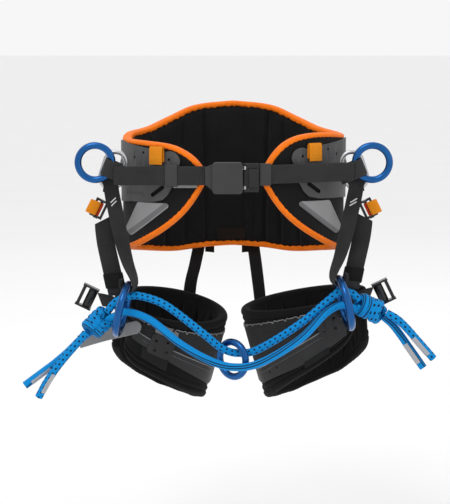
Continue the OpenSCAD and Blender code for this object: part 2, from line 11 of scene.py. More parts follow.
import bmesh
import bpy
import numpy as np
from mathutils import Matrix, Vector

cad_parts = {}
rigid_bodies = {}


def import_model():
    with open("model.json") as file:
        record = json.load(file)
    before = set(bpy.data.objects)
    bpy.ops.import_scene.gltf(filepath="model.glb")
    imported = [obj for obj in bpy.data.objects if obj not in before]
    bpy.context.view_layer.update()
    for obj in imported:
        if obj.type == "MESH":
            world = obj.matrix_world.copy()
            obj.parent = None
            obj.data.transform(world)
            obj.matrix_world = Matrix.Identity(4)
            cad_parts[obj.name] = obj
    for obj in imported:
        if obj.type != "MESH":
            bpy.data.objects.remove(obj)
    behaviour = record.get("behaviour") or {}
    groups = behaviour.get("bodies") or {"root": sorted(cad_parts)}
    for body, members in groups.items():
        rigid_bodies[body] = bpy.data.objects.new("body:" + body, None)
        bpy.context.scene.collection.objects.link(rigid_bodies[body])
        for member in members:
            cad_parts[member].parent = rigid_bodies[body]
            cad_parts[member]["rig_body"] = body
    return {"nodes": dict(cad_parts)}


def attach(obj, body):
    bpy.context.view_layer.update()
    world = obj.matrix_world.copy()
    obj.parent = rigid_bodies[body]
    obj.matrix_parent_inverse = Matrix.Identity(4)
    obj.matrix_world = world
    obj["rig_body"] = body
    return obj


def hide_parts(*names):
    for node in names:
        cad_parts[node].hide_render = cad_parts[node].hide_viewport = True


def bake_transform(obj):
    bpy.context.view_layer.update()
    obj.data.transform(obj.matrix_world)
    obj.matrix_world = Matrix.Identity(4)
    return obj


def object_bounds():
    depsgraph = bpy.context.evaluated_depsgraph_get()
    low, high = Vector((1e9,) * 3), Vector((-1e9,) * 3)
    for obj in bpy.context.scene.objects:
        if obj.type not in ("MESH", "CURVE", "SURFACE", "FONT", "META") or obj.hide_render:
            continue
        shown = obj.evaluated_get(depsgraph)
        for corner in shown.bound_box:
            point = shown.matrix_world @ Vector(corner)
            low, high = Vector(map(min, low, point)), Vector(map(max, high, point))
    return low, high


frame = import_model()
cad_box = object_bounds()
cad = frame["nodes"]
scene = bpy.context.scene

# %% [markdown]
# ## Camera
# A long lens far away keeps the belt's front and back close to the same size, as a
# catalogue view has them. The camera is tilted a little down, so the inside of the
# belt's back shows above the front strap. The lens follows from the width to be seen.

# %% Camera
view_distance = 2.513
view_width = 0.7011
view_tilt = np.radians(7.7)
aim = np.array((-0.013, 0, -0.1198))
lens = bpy.data.cameras.new("camera")
lens.sensor_fit = "HORIZONTAL"
lens.sensor_width = 36
lens.lens = lens.sensor_width * view_distance / view_width
camera = bpy.data.objects.new("camera", lens)
camera.location = aim + view_distance * np.array((0, -np.cos(view_tilt), np.sin(view_tilt)))
camera.rotation_euler = (np.pi / 2 - view_tilt, 0, 0)
scene.collection.objects.link(camera)
scene.camera = camera
print("camera: lens", round(lens.lens, 1), "mm")

# %% [markdown]
# ## Lines and grids
# Straps, ropes and edgings all follow smooth lines through a few chosen points. The
# same curve rule as in the CAD model is used, so the dressed pieces lie where the CAD
# pieces lie. A grid of places then becomes a mesh, one face for each square.

# %% Lines
def mm(values):
    """Millimetres to metres, as an array."""
    return np.asarray(values, float) * 0.001


def unit(v):
    """Each vector divided by its own length."""
    return v / np.linalg.norm(v, axis=-1, keepdims=True)


def smooth(points, n):
    """Curve through the points: between b and c, with neighbours a and d, the place at u is half of
    2b + (c - a)u + (2a - 5b + 4c - d)u^2 + (3b - a - 3c + d)u^3."""
    p = np.asarray(points, float)
    i = np.arange(len(p) - 1)
    near = (np.maximum(i - 1, 0), i, i + 1, np.minimum(i + 2, len(p) - 1))
    a, b, c, d = (p[k][:, None, :] for k in near)
    u = (np.arange(n) / n)[None, :, None]
    line = 0.5 * (2 * b + (c - a) * u + (2 * a - 5 * b + 4 * c - d) * u**2
                  + (3 * b - a - 3 * c + d) * u**3)
    return np.vstack([line.reshape(-1, p.shape[1]), p[-1:]])


def run_along(line):
    """Distance covered at each point of a line, starting at 0."""
    return np.r_[0, np.cumsum(np.linalg.norm(np.diff(line[:, :3], axis=0), axis=1))]


def even(line, step):
    """The same line with its points about one step apart; columns after the third ride along."""
    run = run_along(line)
    at = np.linspace(0, run[-1], max(int(round(run[-1] / step)), 2) + 1)
    return at, np.stack([np.interp(at, run, column) for column in line.T], 1)


print("a straight line of 3 points becomes", len(smooth([[0, 0, 0], [1, 0, 0], [2, 0, 0]], 8)))

# %% [markdown]
# A closed direction of the grid holds its first line again as its last line, so that
# the pattern coordinates (UV) can run on without a jump. The mesh builder makes those
# two lines one. It also measures the signed volume of the shape, which is negative
# when the faces point inwards, and turns them round in that case.

# %% Grids
def surface(name, grid, uv, closed=(False, False), capped=False, crease=40):
    """Mesh on a grid of places [row, column, xyz] with UV in metres; capped adds both end faces."""
    rows, cols = grid.shape[:2]
    kept = rows - closed[0], cols - closed[1]
    r, c = (k.ravel() for k in np.indices((rows - 1, cols - 1)))
    steps = ((0, 0), (0, 1), (1, 1), (1, 0))
    faces = np.stack([(r + i) % kept[0] * kept[1] + (c + j) % kept[1] for i, j in steps], 1)
    coords = np.stack([uv[r + i, c + j] for i, j in steps], 1).reshape(-1, 2)
    places = grid[:kept[0], :kept[1]].reshape(-1, 3)
    corners = (places - places.mean(0))[faces].transpose(1, 0, 2)
    volume = sum((corners[0] * np.cross(corners[k], corners[k + 1])).sum() for k in (1, 2))
    faces = faces.tolist()
    if capped:
        ring = np.arange(kept[1])
        faces += [ring[::-1].tolist(), (ring + (kept[0] - 1) * kept[1]).tolist()]
        coords = np.vstack([coords, uv[0, :kept[1]][::-1], uv[-1, :kept[1]]])
    mesh = bpy.data.meshes.new(name)
    mesh.from_pydata(places, [], faces)
    mesh.uv_layers.new(name="UVMap").data.foreach_set("uv", coords.ravel())
    if volume < 0:
        mesh.flip_normals()
    mesh.shade_smooth()
    mesh.set_sharp_from_angle(angle=np.radians(crease))
    return mesh


def piece(mesh, finish, body="harness", stands_for=(), bend=None):
    """Puts a mesh in the scene under its own name, on its CAD body, with a finish and the record's
    slot for it. A piece that crosses a joint is given bend, which holds both bodies and the points
    where it leaves and joins them; such a piece is baked where it stands and joins no body."""
    made = bpy.data.objects.new(mesh.name, mesh)
    scene.collection.objects.link(made)
    mesh.materials.append(finish)
    if bend:
        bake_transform(made)
    else:
        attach(made, body)
    if stands_for:
        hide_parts(*stands_for)
    print(mesh.name, "on", body, len(mesh.polygons), "faces")
    return made


# %% [markdown]
# ## Shader maths
# A material is a formula over the surface. Writing it as Python keeps it readable:
# a Wire holds one socket, and adding or multiplying wires adds the Math nodes. Colours
# go through Mix nodes, because a Math node would turn them grey.

# %% Shader maths
class Wire:
    """One output socket of a material's node tree."""

    def __init__(self, tree, socket=None):
        self.tree = tree
        self.socket = socket

    def add(self, kind, settings=None, sockets=None, out=0):
        """Adds any node: its settings first, then its sockets' values or links by name or number."""
        made = self.tree.nodes.new("ShaderNode" + kind)
        for key, value in (settings or {}).items():
            setattr(made, key, value)
        for key, value in (sockets or {}).items():
            if isinstance(value, Wire):
                self.tree.links.new(value.socket, made.inputs[key])
            else:
                made.inputs[key].default_value = value
        return Wire(self.tree, made.outputs[out] if made.outputs else None)

    def math(self, operation, first, second=0.0):
        return self.add("Math", {"operation": operation}, {0: first, 1: second})

    def __add__(self, other):
        return self.math("ADD", self, other)

    def __sub__(self, other):
        return self.math("SUBTRACT", self, other)

    def __rsub__(self, other):
        return self.math("SUBTRACT", other, self)

    def __mul__(self, other):
        return self.math("MULTIPLY", self, other)

    def __truediv__(self, other):
        return self.math("DIVIDE", self, other)

    def __pow__(self, other):
        return self.math("POWER", self, other)

    def __mod__(self, other):
        return self.math("FLOORED_MODULO", self, other)

    __radd__ = __add__
    __rmul__ = __mul__

    def sin(self):
        return self.math("SINE", self)

    def abs(self):
        return self.math("ABSOLUTE", self)

    def floor(self):
        return self.math("FLOOR", self)

    def step(self, low, high):
        """0 below low, 1 above high, and a smooth rise between them."""
        return self.add("MapRange", {"interpolation_type": "SMOOTHSTEP"},
                        {0: self, 1: low, 2: high})

    def mix(self, first, second):
        """A colour: the first where this wire is 0, the second where it is 1."""
        ends = [c if isinstance(c, Wire) else (*c, 1) for c in (first, second)]
        return self.add("Mix", {"data_type": "RGBA"}, {0: self, 6: ends[0], 7: ends[1]}, 2)


# %% [markdown]
# Every finish starts from the same wires: the piece's own UV in metres, where u runs
# along it and v across it, and Object coordinates, which are the same as the frame's.
# Values that are the same all over are set straight on the shader's sockets.

# %% Finish
turn = 2 * np.pi


class Finish:
    """A material being made: u, v and place are wires, and done() closes it with the shader."""

    def __init__(self, name, slot):
        self.material = bpy.data.materials.new(name)
        self.material["slot"] = slot
        self.material.use_nodes = True
        self.material.node_tree.nodes.clear()
        self.root = Wire(self.material.node_tree)
        self.place = self.root.add("TexCoord", out="Object")
        split = self.root.add("SeparateXYZ", sockets={0: self.root.add("UVMap")})
        self.u, self.v = (Wire(split.tree, split.socket.node.outputs[k]) for k in (0, 1))

    def noise(self, scale, detail=3, rough=0.55):
        """Cloudy noise between 0 and 1 with this many cells to the metre."""
        return self.root.add("TexNoise", sockets={
            "Vector": self.place, "Scale": scale, "Detail": detail, "Roughness": rough})

    def waves(self, wire, pitch):
        """A wave between 0 and 1 that repeats once each pitch."""
        return (wire * (turn / pitch)).sin() * 0.5 + 0.5

    def weave(self, pitch):
        """Over-and-under threads: the product of a wave along and a wave across."""
        return self.waves(self.u, pitch) * self.waves(self.v, pitch)

    def twill(self, pitch, lean=1.0):
        """Slanting ridges, as the floats of a twill make them."""
        return self.waves(self.u + self.v * lean, pitch)

    def done(self, colour, rough=0.6, height=None, relief=0.0003, **fixed):
        sockets = {"Base Color": colour if isinstance(colour, Wire) else (*colour, 1),
                   "Roughness": rough}
        sockets.update({key.replace("_", " "): value for key, value in fixed.items()})
        if height is not None:
            sockets["Normal"] = self.root.add("Bump", sockets={
                "Height": height, "Distance": relief, "Strength": 1.0})
        shader = self.root.add("BsdfPrincipled", sockets=sockets)
        self.root.add("OutputMaterial", sockets={"Surface": shader})
        print("finish", self.material.name)
        return self.material


# %% [markdown]
# ## Rope sheath
# Both bridge ropes have a woven blue sheath. One carries short black flecks in
# staggered rows, the other two pairs of fine black lines that run along it. On a rope
# u is the distance along and v the part of a full turn, so both patterns stay with
# the rope through every bend. The plaits themselves are in the mesh.

# %% Rope finishes
plait_turns = 16        # plaits round the rope
plait_pitch = 0.0026    # and one plait's length along it


def rope_finish(name, marks):
    f = Finish(name, "blue_rope")
    cloudy = f.noise(500)
    plait = f.waves(f.u, plait_pitch) * f.waves(f.v * plait_pitch * plait_turns, plait_pitch)
    blue = cloudy.mix((0.0, 0.17, 0.50), (0.0, 0.27, 0.68))
    # lighter blue on the plait crests is a painted highlight; the cloudy mix above is the sheath's own
    # drifting tone
    blue = (plait * 0.6).mix(blue, (0.0, 0.36, 0.80))
    return f.done(marks(f).mix(blue, (0.004, 0.008, 0.02)), 0.62, f.noise(2600, 2), 0.0004,
                  Sheen_Weight=0.03, Sheen_Roughness=0.4, Specular_IOR_Level=0.15)


def flecks(f, rows=6, pitch=0.0088):
    """Rows of short ovals, every second row half a pitch on."""
    row = (f.v * rows).floor()
    across = ((f.v * rows) % 1.0 - 0.5) / 0.26
    along = ((f.u / pitch + (row % 2.0) * 0.5 + row * 0.13) % 1.0 - 0.5) / 0.20
    return 1 - (across**2.0 + along**2.0).step(0.7, 1.2)


def twin_lines(f, twist=1.2):
    """Two pairs of lines a half turn apart; each is broken by the plaits that cross it."""
    side = ((f.v + f.u * twist) * 2.0) % 1.0 - 0.5
    lines = 1 - ((side.abs() - 0.095).abs()).step(0.040, 0.062)
    broken = f.waves(f.u, plait_pitch).step(0.02, 0.25)
    return lines * (0.6 + broken * 0.4)


dotted_rope = rope_finish("dotted_rope", flecks)
striped_rope = rope_finish("striped_rope", twin_lines)

# %% [markdown]
# ## Ropes
# A rope is a tube whose radius rises and falls with the plaits. The routes are
# listed, and are the CAD routes.

# %% Tubes
rope_d = 0.012


def tube(line, radius, up, around=40, step=0.0009, plait=0.0):
    """Round tube along a line: at a turn v of the section the surface is radius out, plus plait times
    the product of a wave along the line and a wave round it. Returns its grid and UV."""
    run, line = even(line, step)
    t = unit(np.gradient(line, axis=0))
    across = unit(np.cross(t, up))
    over = np.cross(across, t)
    v = np.linspace(0, 1, around + 1)
    wave = np.cos(turn * run / plait_pitch)[:, None] * np.cos(turn * v * plait_turns / 2)[None, :] ** 2
    reach = (radius + plait * wave)[:, :, None]
    grid = line[:, None] + reach * (across[:, None] * np.cos(turn * v)[None, :, None]
                                    - over[:, None] * np.sin(turn * v)[None, :, None])
    return grid, np.stack(np.broadcast_arrays(run[:, None], v[None, :]), -1)


def rope(name, line, up):
    """A plaited tube with both ends closed."""
    grid, uv = tube(line, rope_d / 2 - 0.0002, up, plait=0.0003)
    return surface(name, grid, uv, (False, True), True)


# %% [markdown]
# Both ropes hang in a shallow bow between the bridge rings, held at both ends, and
# each one's tail goes on past its knot and ends bare in a clear sleeve. The length of
# each stretch is printed.

# %% Bridge ropes
upright = np.array((0, 0, 1.0))
dotted_bridge = mm([
    [-190, -112, -196], [-176, -110, -180], [-158, -110, -172], [-138, -114, -171], [-101, -124, -183],
    [-49, -133, -221], [-17, -136, -246], [9, -136, -253], [39, -136, -246], [98, -131, -210],
    [143, -117, -175], [158, -110, -165], [176, -110, -167], [188, -112, -178]])
striped_bridge = mm([
    [-192, -114, -208], [-178, -117, -201], [-158, -120, -194], [-123, -134, -204],
    [-78, -150, -237], [-34, -160, -260], [2, -167, -268], [41, -165, -261], [97, -150, -230],
    [135, -131, -195], [158, -119, -184], [176, -116, -187], [190, -114, -195]])
for name, route, finish in (("dotted", dotted_bridge, dotted_rope),
                            ("striped", striped_bridge, striped_rope)):
    line = smooth(route, 12)
    mesh = rope("rope_" + name + "_span", line, upright)
    span = piece(mesh, finish, stands_for=["rope_" + name + "_bridge"])
    print("length", round(run_along(line)[-1], 3), "m")

# %% [markdown]
# Each tail ends in a clear shrink sleeve that keeps the plaits from fraying. Only the
# side that catches the light shows on the sheath, so the sleeve is drawn as a painted
# highlight: a light grey strip of a thin tube, about a quarter of the way round the last
# stretch and a little see-through.

# %% Rope tails
def sleeve_finish():
    f = Finish("sleeve_highlight", "blue_rope")
    return f.done((0.40, 0.41, 0.43), 0.28, f.noise(300), 0.0004, Alpha=0.9, Coat_Weight=0.3)


sleeve_highlight = sleeve_finish()
backwards = np.array((0, 1.0, 0))
tails = {
    "dotted_tail_left": [[-221, -116, -226], [-233, -121, -240], [-249, -123, -258], [-265, -122, -278],
                         [-280, -119, -300], [-293, -116, -324]],
    "striped_tail_left": [[-219, -104, -229], [-232, -103, -240], [-250, -103, -258], [-270, -105, -275],
                          [-292, -109, -291], [-314, -113, -307]],
    "dotted_tail_right": [[228, -116, -196], [243, -120, -204], [258, -121, -218], [272, -119, -234],
                          [286, -117, -250], [299, -115, -265]],
    "striped_tail_right": [[224, -104, -203], [237, -104, -214], [249, -104, -229], [261, -106, -246],
                           [273, -109, -263], [285, -112, -280]]}
for name, route in tails.items():
    finish = dotted_rope if name.startswith("dotted") else striped_rope
    line = smooth(mm(route), 12)
    mesh = rope("rope_" + name + "_end", line, backwards)
    tail = piece(mesh, finish, stands_for=["rope_" + name])
    run, points = even(line, 0.001)
    covered = points[(run > run[-1] - 0.046) & (run < run[-1] - 0.010)]
    grid, uv = tube(covered, rope_d / 2 + 0.0005, backwards, around=32)
    # only the lit quarter of the sleeve's tube is kept, so its light grey is a painted highlight
    part = slice(0, 9) if "left" in name else slice(7, 16)
    cover = piece(surface("sleeve_" + name, grid[:, part], uv[:, part]), sleeve_highlight)

# %% [markdown]
# ## Knots
# Behind each bridge ring the two ropes are tied round each other, each with its own
# turns. Seen from outside, a stopper knot is a short stack of leaning turns and one
# turn that crosses the others. The stack is a helix round the knot's axis whose
# turns lean, and whose ends tuck into the middle.

# %% Knots
knot_centre = mm([[-201, -112, -210], [204, -112, -190]])
knot_lean = np.radians((45, 24))
side_sign = (-1, 1)
side_name = ("left", "right")


def turns(side, start, stop, count, radius, lean, spin=0.0):
    """Helix round the knot's axis from start to stop along it. Each turn leans: a place at a turn's
    angle w is shifted along the axis by lean times cos w. The first and last quarter turn close to
    the middle."""
    tilt = np.pi / 2 + knot_lean[side]
    axis = np.array((side_sign[side] * np.sin(tilt), 0, np.cos(tilt)))
    out = np.array((0, -1.0, 0))
    other = np.cross(axis, out)
    k = np.linspace(0, 1, 160)
    w = turn * (count * k + spin)
    tuck = np.clip(np.minimum(k, 1 - k) * count * 4, 0, 1)
    reach = radius * (0.35 + 0.65 * np.sin(tuck * np.pi / 2))
    along = start + (stop - start) * k + lean * np.cos(w)
    return (knot_centre[side] + along[:, None] * axis
            + reach[:, None] * (np.cos(w)[:, None] * out + np.sin(w)[:, None] * other))


knot_turns = {
    ("left", "dotted"): (-0.013, 0.007, 2.6, 0.0125, 0.0035, 0.1),
    ("left", "striped"): (0.008, 0.018, 2.2, 0.0120, -0.0045, 0.35),
    ("right", "striped"): (-0.018, 0.002, 3.2, 0.0120, 0.0030, 0.1),
    ("right", "dotted"): (0.003, 0.017, 2.3, 0.0125, -0.0040, 0.4)}
for (side, kind), shape in knot_turns.items():
    line = turns(side_name.index(side), *shape)
    finish = dotted_rope if kind == "dotted" else striped_rope
    mesh = rope("knot_" + kind + "_" + side, line, np.array((0.31, 0.05, -0.29)))
    piece(mesh, finish, stands_for=["knot_" + side])

# %% [markdown]
# ## Rings and hard parts
# The rings stay as the CAD model has them. The blue ones are turned from aluminium
# bar and anodised: a metal with a dark blue skin whose faint turning marks blur the
# highlights. Steel links are plainer, and black parts carry a hard black coat.

# %% Metal finishes
def metal(name, slot, dark, light, rough, **fixed):
    """Metal between two shades, a little rougher in places; the finest noise is turning marks."""
    f = Finish(name, slot)
    fine = f.noise(900, 2)
    shade = f.noise(35).mix(dark, light)
    return f.done(shade, f.noise(60) * 0.12 + rough, fine, 0.00006, Metallic=1.0, **fixed)


blue_anodised = metal("blue_anodised", "blue_anodised", (0.004, 0.075, 0.26), (0.008, 0.11, 0.35), 0.24,
                      Coat_Weight=0.35, Coat_Roughness=0.15)
grey_alloy = metal("grey_alloy", "grey_alloy", (0.46, 0.46, 0.47), (0.62, 0.62, 0.63), 0.30)
steel = metal("steel", "steel", (0.34, 0.34, 0.35), (0.52, 0.52, 0.53), 0.30)
black_metal = metal("black_metal", "black_metal", (0.012, 0.012, 0.013), (0.03, 0.03, 0.032), 0.34,
                    Coat_Weight=0.5, Coat_Roughness=0.25)


def refinish(finish, *names):
    """Gives carried-over CAD nodes their finish."""
    for name in names:
        cad[name].data.materials.clear()
        cad[name].data.materials.append(finish)
        cad[name].data.shade_smooth()
        cad[name].data.set_sharp_from_angle(angle=np.radians(35))
    print(finish.name, "on", ", ".join(names))


refinish(blue_anodised, "side_ring_left", "side_ring_right", "bridge_ring_left", "bridge_ring_right",
         "centre_ring")
refinish(grey_alloy, "hip_ring_left", "hip_ring_right")

# %% [markdown]
# ## Cloth and webbing finishes
# Black cloth is never a flat black: the colour drifts a little, the thread tops catch
# light, drawn here as a painted highlight in the colour, and a fine nap (sheen) lifts
# the edges. Each cloth here differs in its weave: plain for the belt's outside, knitted
# for the lining, ribs for webbing.

# %% Cloth finishes
def cloth(name, slot, dark, light, pattern, relief=0.0002, rough=0.85, sheen=0.06):
    """Two shades mixed by a drifting noise, with a painted highlight on the thread tops, which pattern gives.
    """
    f = Finish(name, slot)
    threads = pattern(f)
    # the noise is the cloth's own drifting tone; the lighter colour where pattern marks the thread tops is a
    # painted highlight
    shade = (f.noise(28) * 0.65 + threads * 0.35).mix(dark, light)
    return f.done(shade, rough, threads + f.noise(1800, 2) * 0.5, relief, Sheen_Weight=sheen,
                  Sheen_Roughness=0.5, Specular_IOR_Level=0.14)


def shades(level, spread=0.5):
    """A dark and a light grey round a level."""
    return [(level * k, level * k, level * k * 1.03) for k in (1 - spread, 1 + spread)]


belt_cloth = cloth("belt_cloth", "belt_cloth", *shades(0.0075), lambda f: f.weave(0.0008))
lining_cloth = cloth("lining_cloth", "lining_cloth", *shades(0.0080), lambda f: f.weave(0.0011),
                     sheen=0.04)
leg_cloth = cloth("leg_cloth", "leg_cloth", *shades(0.0050), lambda f: f.weave(0.0010), sheen=0.04)
webbing_cloth = cloth("webbing", "webbing", *shades(0.030, 0.45), lambda f: f.twill(0.0011, 0.4),
                      sheen=0.08)
twill_webbing = cloth("twill_webbing", "webbing", *shades(0.026, 0.75),
                      lambda f: f.twill(0.0023, 0.75), 0.0007, sheen=0.08)
plain_webbing = cloth("plain_webbing", "webbing", *shades(0.0085, 0.3), lambda f: f.weave(0.0007))
band_cloth = cloth("band_cloth", "webbing", *shades(0.020, 0.8), lambda f: f.twill(0.0030, -0.8),
                   0.0008)
grey_tape = cloth("grey_tape", "grey_patch", (0.20, 0.20, 0.20), (0.30, 0.30, 0.30),
                  lambda f: f.weave(0.0009))
label_cloth = cloth("label_cloth", "lining_cloth", (0.010, 0.0050, 0.0036), (0.018, 0.010, 0.0075),
                    lambda f: f.weave(0.0005))

# %% [markdown]
# The orange edging is a folded satin tape. Its colour deepens to red in cloudy patches
# and along the sewn line, which runs on the side that faces the belt's outside.

# %% Orange finishes
deep_orange = (0.58, 0.060, 0.001)
bright_orange = (0.95, 0.195, 0.002)


def edging_finish():
    f = Finish("orange_binding", "orange_binding")
    seam = 1 - ((f.v - 0.365).abs()).step(0.012, 0.03)
    dashes = f.waves(f.u, 0.0042).step(0.25, 0.6)
    # cloudy patches where the tape turns deeper orange, placed by noise alone
    deep_patches = f.noise(120, 4).step(0.35, 0.75)
    shade = (1 - deep_patches * 0.22).mix(deep_orange, bright_orange)
    shade = (seam * (0.35 + dashes * 0.5)).mix(shade, deep_orange)
    height = f.waves(f.u, 0.0012) * 0.6 + f.noise(900) - seam * 1.5
    return f.done(shade, 0.55, height, 0.00035, Specular_IOR_Level=0.2)


def orange_webbing_finish(name, colour):
    f = Finish(name, "orange_webbing")
    threads = f.weave(0.0010)
    # the noise is the webbing's own tone; the lighter colour on the thread tops is a painted highlight
    shade = (f.noise(90) * 0.6 + threads * 0.4).mix([0.72 * c for c in colour], colour)
    return f.done(shade, 0.6, threads + f.noise(1500, 2), 0.0003, Specular_IOR_Level=0.2)


orange_binding = edging_finish()
orange_webbing = orange_webbing_finish("orange_webbing", (0.92, 0.30, 0.006))
red_webbing = orange_webbing_finish("red_webbing", (0.62, 0.04, 0.003))


def thread(name, colour, slot="webbing"):
    f = Finish(name, slot)
    return f.done(f.noise(700).mix([0.7 * c for c in colour], colour), 0.6, f.noise(3000), 0.0001)


black_thread = thread("black_thread", (0.03, 0.03, 0.032))
grey_thread = thread("grey_thread", (0.32, 0.32, 0.33))
yellow_thread = thread("yellow_thread", (0.90, 0.62, 0.03))
white_thread = thread("white_thread", (0.72, 0.72, 0.72))

# %% [markdown]
# Moulded plastic has a fine even grain from its mould, and its shine varies where
# hands and gloves have polished it.

# %% Plastic finishes
def plastic(name, slot, dark, light, rough=0.48, grain=1500, relief=0.00012, **fixed):
    """Moulded plastic between two shades; its roughness rises by up to 0.12 where it is less worn."""
    f = Finish(name, slot)
    fixed = {"Specular_IOR_Level": 0.3, **fixed}
    polish = f.noise(22, 4).step(0.3, 0.75)
    return f.done(f.noise(60).mix(dark, light), rough + polish * 0.12, f.noise(grain, 2), relief,
                  **fixed)


hip_plastic = plastic("hip_plastic", "hip_plastic", (0.050, 0.050, 0.052), (0.075, 0.075, 0.078))
cover_plastic = plastic("cover_plastic", "cover_plastic", (0.034, 0.034, 0.035),
                        (0.044, 0.044, 0.045), 0.6)
plate_plastic = plastic("plate_plastic", "plate_plastic", (0.008, 0.008, 0.009),
                        (0.016, 0.016, 0.017), 0.42)

# %% [markdown]
# ## The belt's shape
# Seen from above the belt is an open ellipse, and angle 0 is the middle of its back.
# Its top and bottom edges are smooth curves over that angle. Both come from the CAD
# model's own rules, so every layer here lies inside the CAD layers.

# %% Belt shape
belt_half = mm((168, 124))
belt_end = 163
binding_r = 0.0046
binding_out = -0.00445
shell_in, shell_out = mm((0.35, 3.05))
lining_in = -0.01195
belt_top_left = [[0, 111], [22, 104], [38, 87], [55, 72], [80, 66], [98, 60],
                 [130, 58], [146, 54], [155, 44], [160, 33], [163, 22]]
belt_top_right = [[0, 111], [22, 104], [38, 87], [55, 72], [80, 66], [98, 66],
                  [128, 71], [144, 68], [153, 58], [159, 42], [163, 24]]
belt_bottom = [[0, -124], [18, -127], [36, -131], [60, -125], [90, -115], [115, -104],
               [131, -88], [143, -70], [152, -50], [158, -30], [163, -8]]


def profile(points, at):
    """Smooth height over x: between two points a cubic whose slope at each point is that of the
    straight line between its two neighbours."""
    x, y = np.asarray(points, float).T
    last = len(x) - 1
    i = np.clip(np.searchsorted(x, at, side="right") - 1, 0, last - 1)
    before, after = np.maximum(i - 1, 0), np.minimum(i + 2, last)
    width = x[i + 1] - x[i]
    u = (at - x[i]) / width
    rise0 = (y[i + 1] - y[before]) / (x[i + 1] - x[before]) * width
    rise1 = (y[after] - y[i]) / (x[after] - x[i]) * width
    return ((2 * u**3 - 3 * u**2 + 1) * y[i] + (u**3 - 2 * u**2 + u) * rise0
            + (3 * u**2 - 2 * u**3) * y[i + 1] + (u**3 - u**2) * rise1)


def belt_edges(angle):
    """Heights of the middle of the bottom and top edging at each angle in degrees."""
    a = np.abs(angle)
    top = np.where(angle < 0, profile(belt_top_left, a), profile(belt_top_right, a))
    return mm(profile(belt_bottom, a)) + binding_r, mm(top) - binding_r


def belt_at(angle, out, height):
    """Place on the belt: ((a + out) sin angle, (b + out) cos angle, height)."""
    w = np.radians(angle)
    return np.stack(np.broadcast_arrays((belt_half[0] + out) * np.sin(w),
                                        (belt_half[1] + out) * np.cos(w), height), -1)


def belt_angle(x):
    """Angle in degrees at distance x to the right of the middle of the front."""
    return 180 - np.degrees(np.arcsin(x / belt_half[0]))


def valleys(angle, height, rows):
    """Sum of sewn channels. Each row is [angle, width, depth, from height, to height, lean]: across the
    channel its depth falls off as exp(-(distance / width)^2), and its ends fade over 12 mm."""
    at, width, depth, low, high, lean = (np.array(column)[:, None, None] for column in zip(*rows))
    reach = np.radians(angle - at - lean * height) * 0.150
    fade = np.clip((height - low) / 0.012, 0, 1) * np.clip((high - height) / 0.012, 0, 1)
    return (depth * np.exp(-(reach / width) ** 2) * fade).sum(0)


# %% [markdown]
# ## Padding
# Lining and foam are sewn together in channels, so the inside of the belt swells
# between them. The padding is one closed body: its inner face follows the channels and
# thins towards the edging, its outer face lies flat against the shell. Foam with sewn
# channels holds its shape, so the swell is given by a formula rather than simulated.

# %% Belt padding
back_channels = [
    (-16.5, 0.0034, 0.0060, -0.125, 0.096, -8), (19.9, 0.0034, 0.0060, -0.125, 0.096, 10),
    (-32.5, 0.0030, 0.0036, 0.030, 0.080, 22), (32.5, 0.0030, 0.0036, 0.030, 0.080, -22),
    (-7.6, 0.0022, 0.0012, -0.080, 0.090, 0), (7.6, 0.0022, 0.0012, -0.080, 0.090, 0),
    (-27.8, 0.0036, 0.0045, -0.125, -0.015, 12), (27.8, 0.0036, 0.0045, -0.125, -0.015, -12),
    (-41.0, 0.0036, 0.0045, -0.125, -0.010, 14), (41.0, 0.0036, 0.0045, -0.125, -0.010, -14),
    (6.5, 0.0028, 0.0018, -0.125, -0.030, 0), (13.0, 0.0028, 0.0018, -0.125, -0.030, 0)]
wing_channels = [(sign * at, 0.0030, 0.0026, -0.110, 0.060, 0) for at in range(58, 150, 15)
                 for sign in side_sign]


def belt_body(name, columns, rows, scale, faces_of):
    """Closed body round the belt. faces_of gives how far out its two faces lie, from the angle, the
    height and the distance to the nearer edge; u is the angle times scale."""
    angle = np.linspace(-belt_end, belt_end, columns)[:, None]
    low, high = belt_edges(angle)
    height = low + (high - low) * np.linspace(0, 1, rows)[None, :]
    near, far = faces_of(angle, height, np.minimum(height - low, high - height))
    there = belt_at(angle, near, height)
    grid = np.concatenate([there, belt_at(angle, far, height)[:, ::-3], there[:, :1]], 1)
    along = np.radians(angle) * scale + 0 * grid[..., 2]
    return surface(name, grid, np.stack([along, grid[..., 2]], -1), (False, True), True, 60)


def padding_faces(angle, height, edge):
    """Inner face: lining plus a gentle swell, the sewn channels and the pinch exp(-(edge / 7 mm)^2)."""
    pinch = np.exp(-(edge / 0.007) ** 2)
    swell = 0.0006 * np.sin(angle * 0.41 + height * 60) + 0.0005 * np.sin(angle * 0.17 - height * 95)
    inner = lining_in + swell + pinch * 0.0042 + valleys(angle, height, back_channels + wing_channels)
    return inner, -pinch * 0.003


padding = piece(belt_body("belt_padding", 760, 84, 0.146, padding_faces), lining_cloth,
                stands_for=["belt_foam", "belt_lining"])

# %% [markdown]
# ## Shell
# The outside of the belt is one tough cloth. It is nearly flat, a little wavy where
# it is pulled towards the edging.

# %% Belt shell
def shell_faces(angle, height, edge):
    """Outer face: flat, let down by exp(-(edge / 9 mm)^2) at the edging and waved beside it."""
    pull = np.exp(-(edge / 0.009) ** 2)
    wave = 0.0003 * np.sin(angle * 2.3) * np.exp(-(edge / 0.016) ** 2)
    return shell_out - 0.0009 * pull + wave - 0.0002, shell_in


piece(belt_body("belt_outer_cloth", 420, 48, 0.150, shell_faces), belt_cloth, stands_for=["belt_shell"])

# %% [markdown]
# ## Edging
# The edging is a tape folded over all layers and sewn through. Its section is a flat
# oval; v goes once round it, from the outermost line over the outside of the belt. On
# the inner side the tape's lip is gathered, so its edge scallops. The edging is one
# closed ring: along the top, round one end, back along the bottom and round the other.

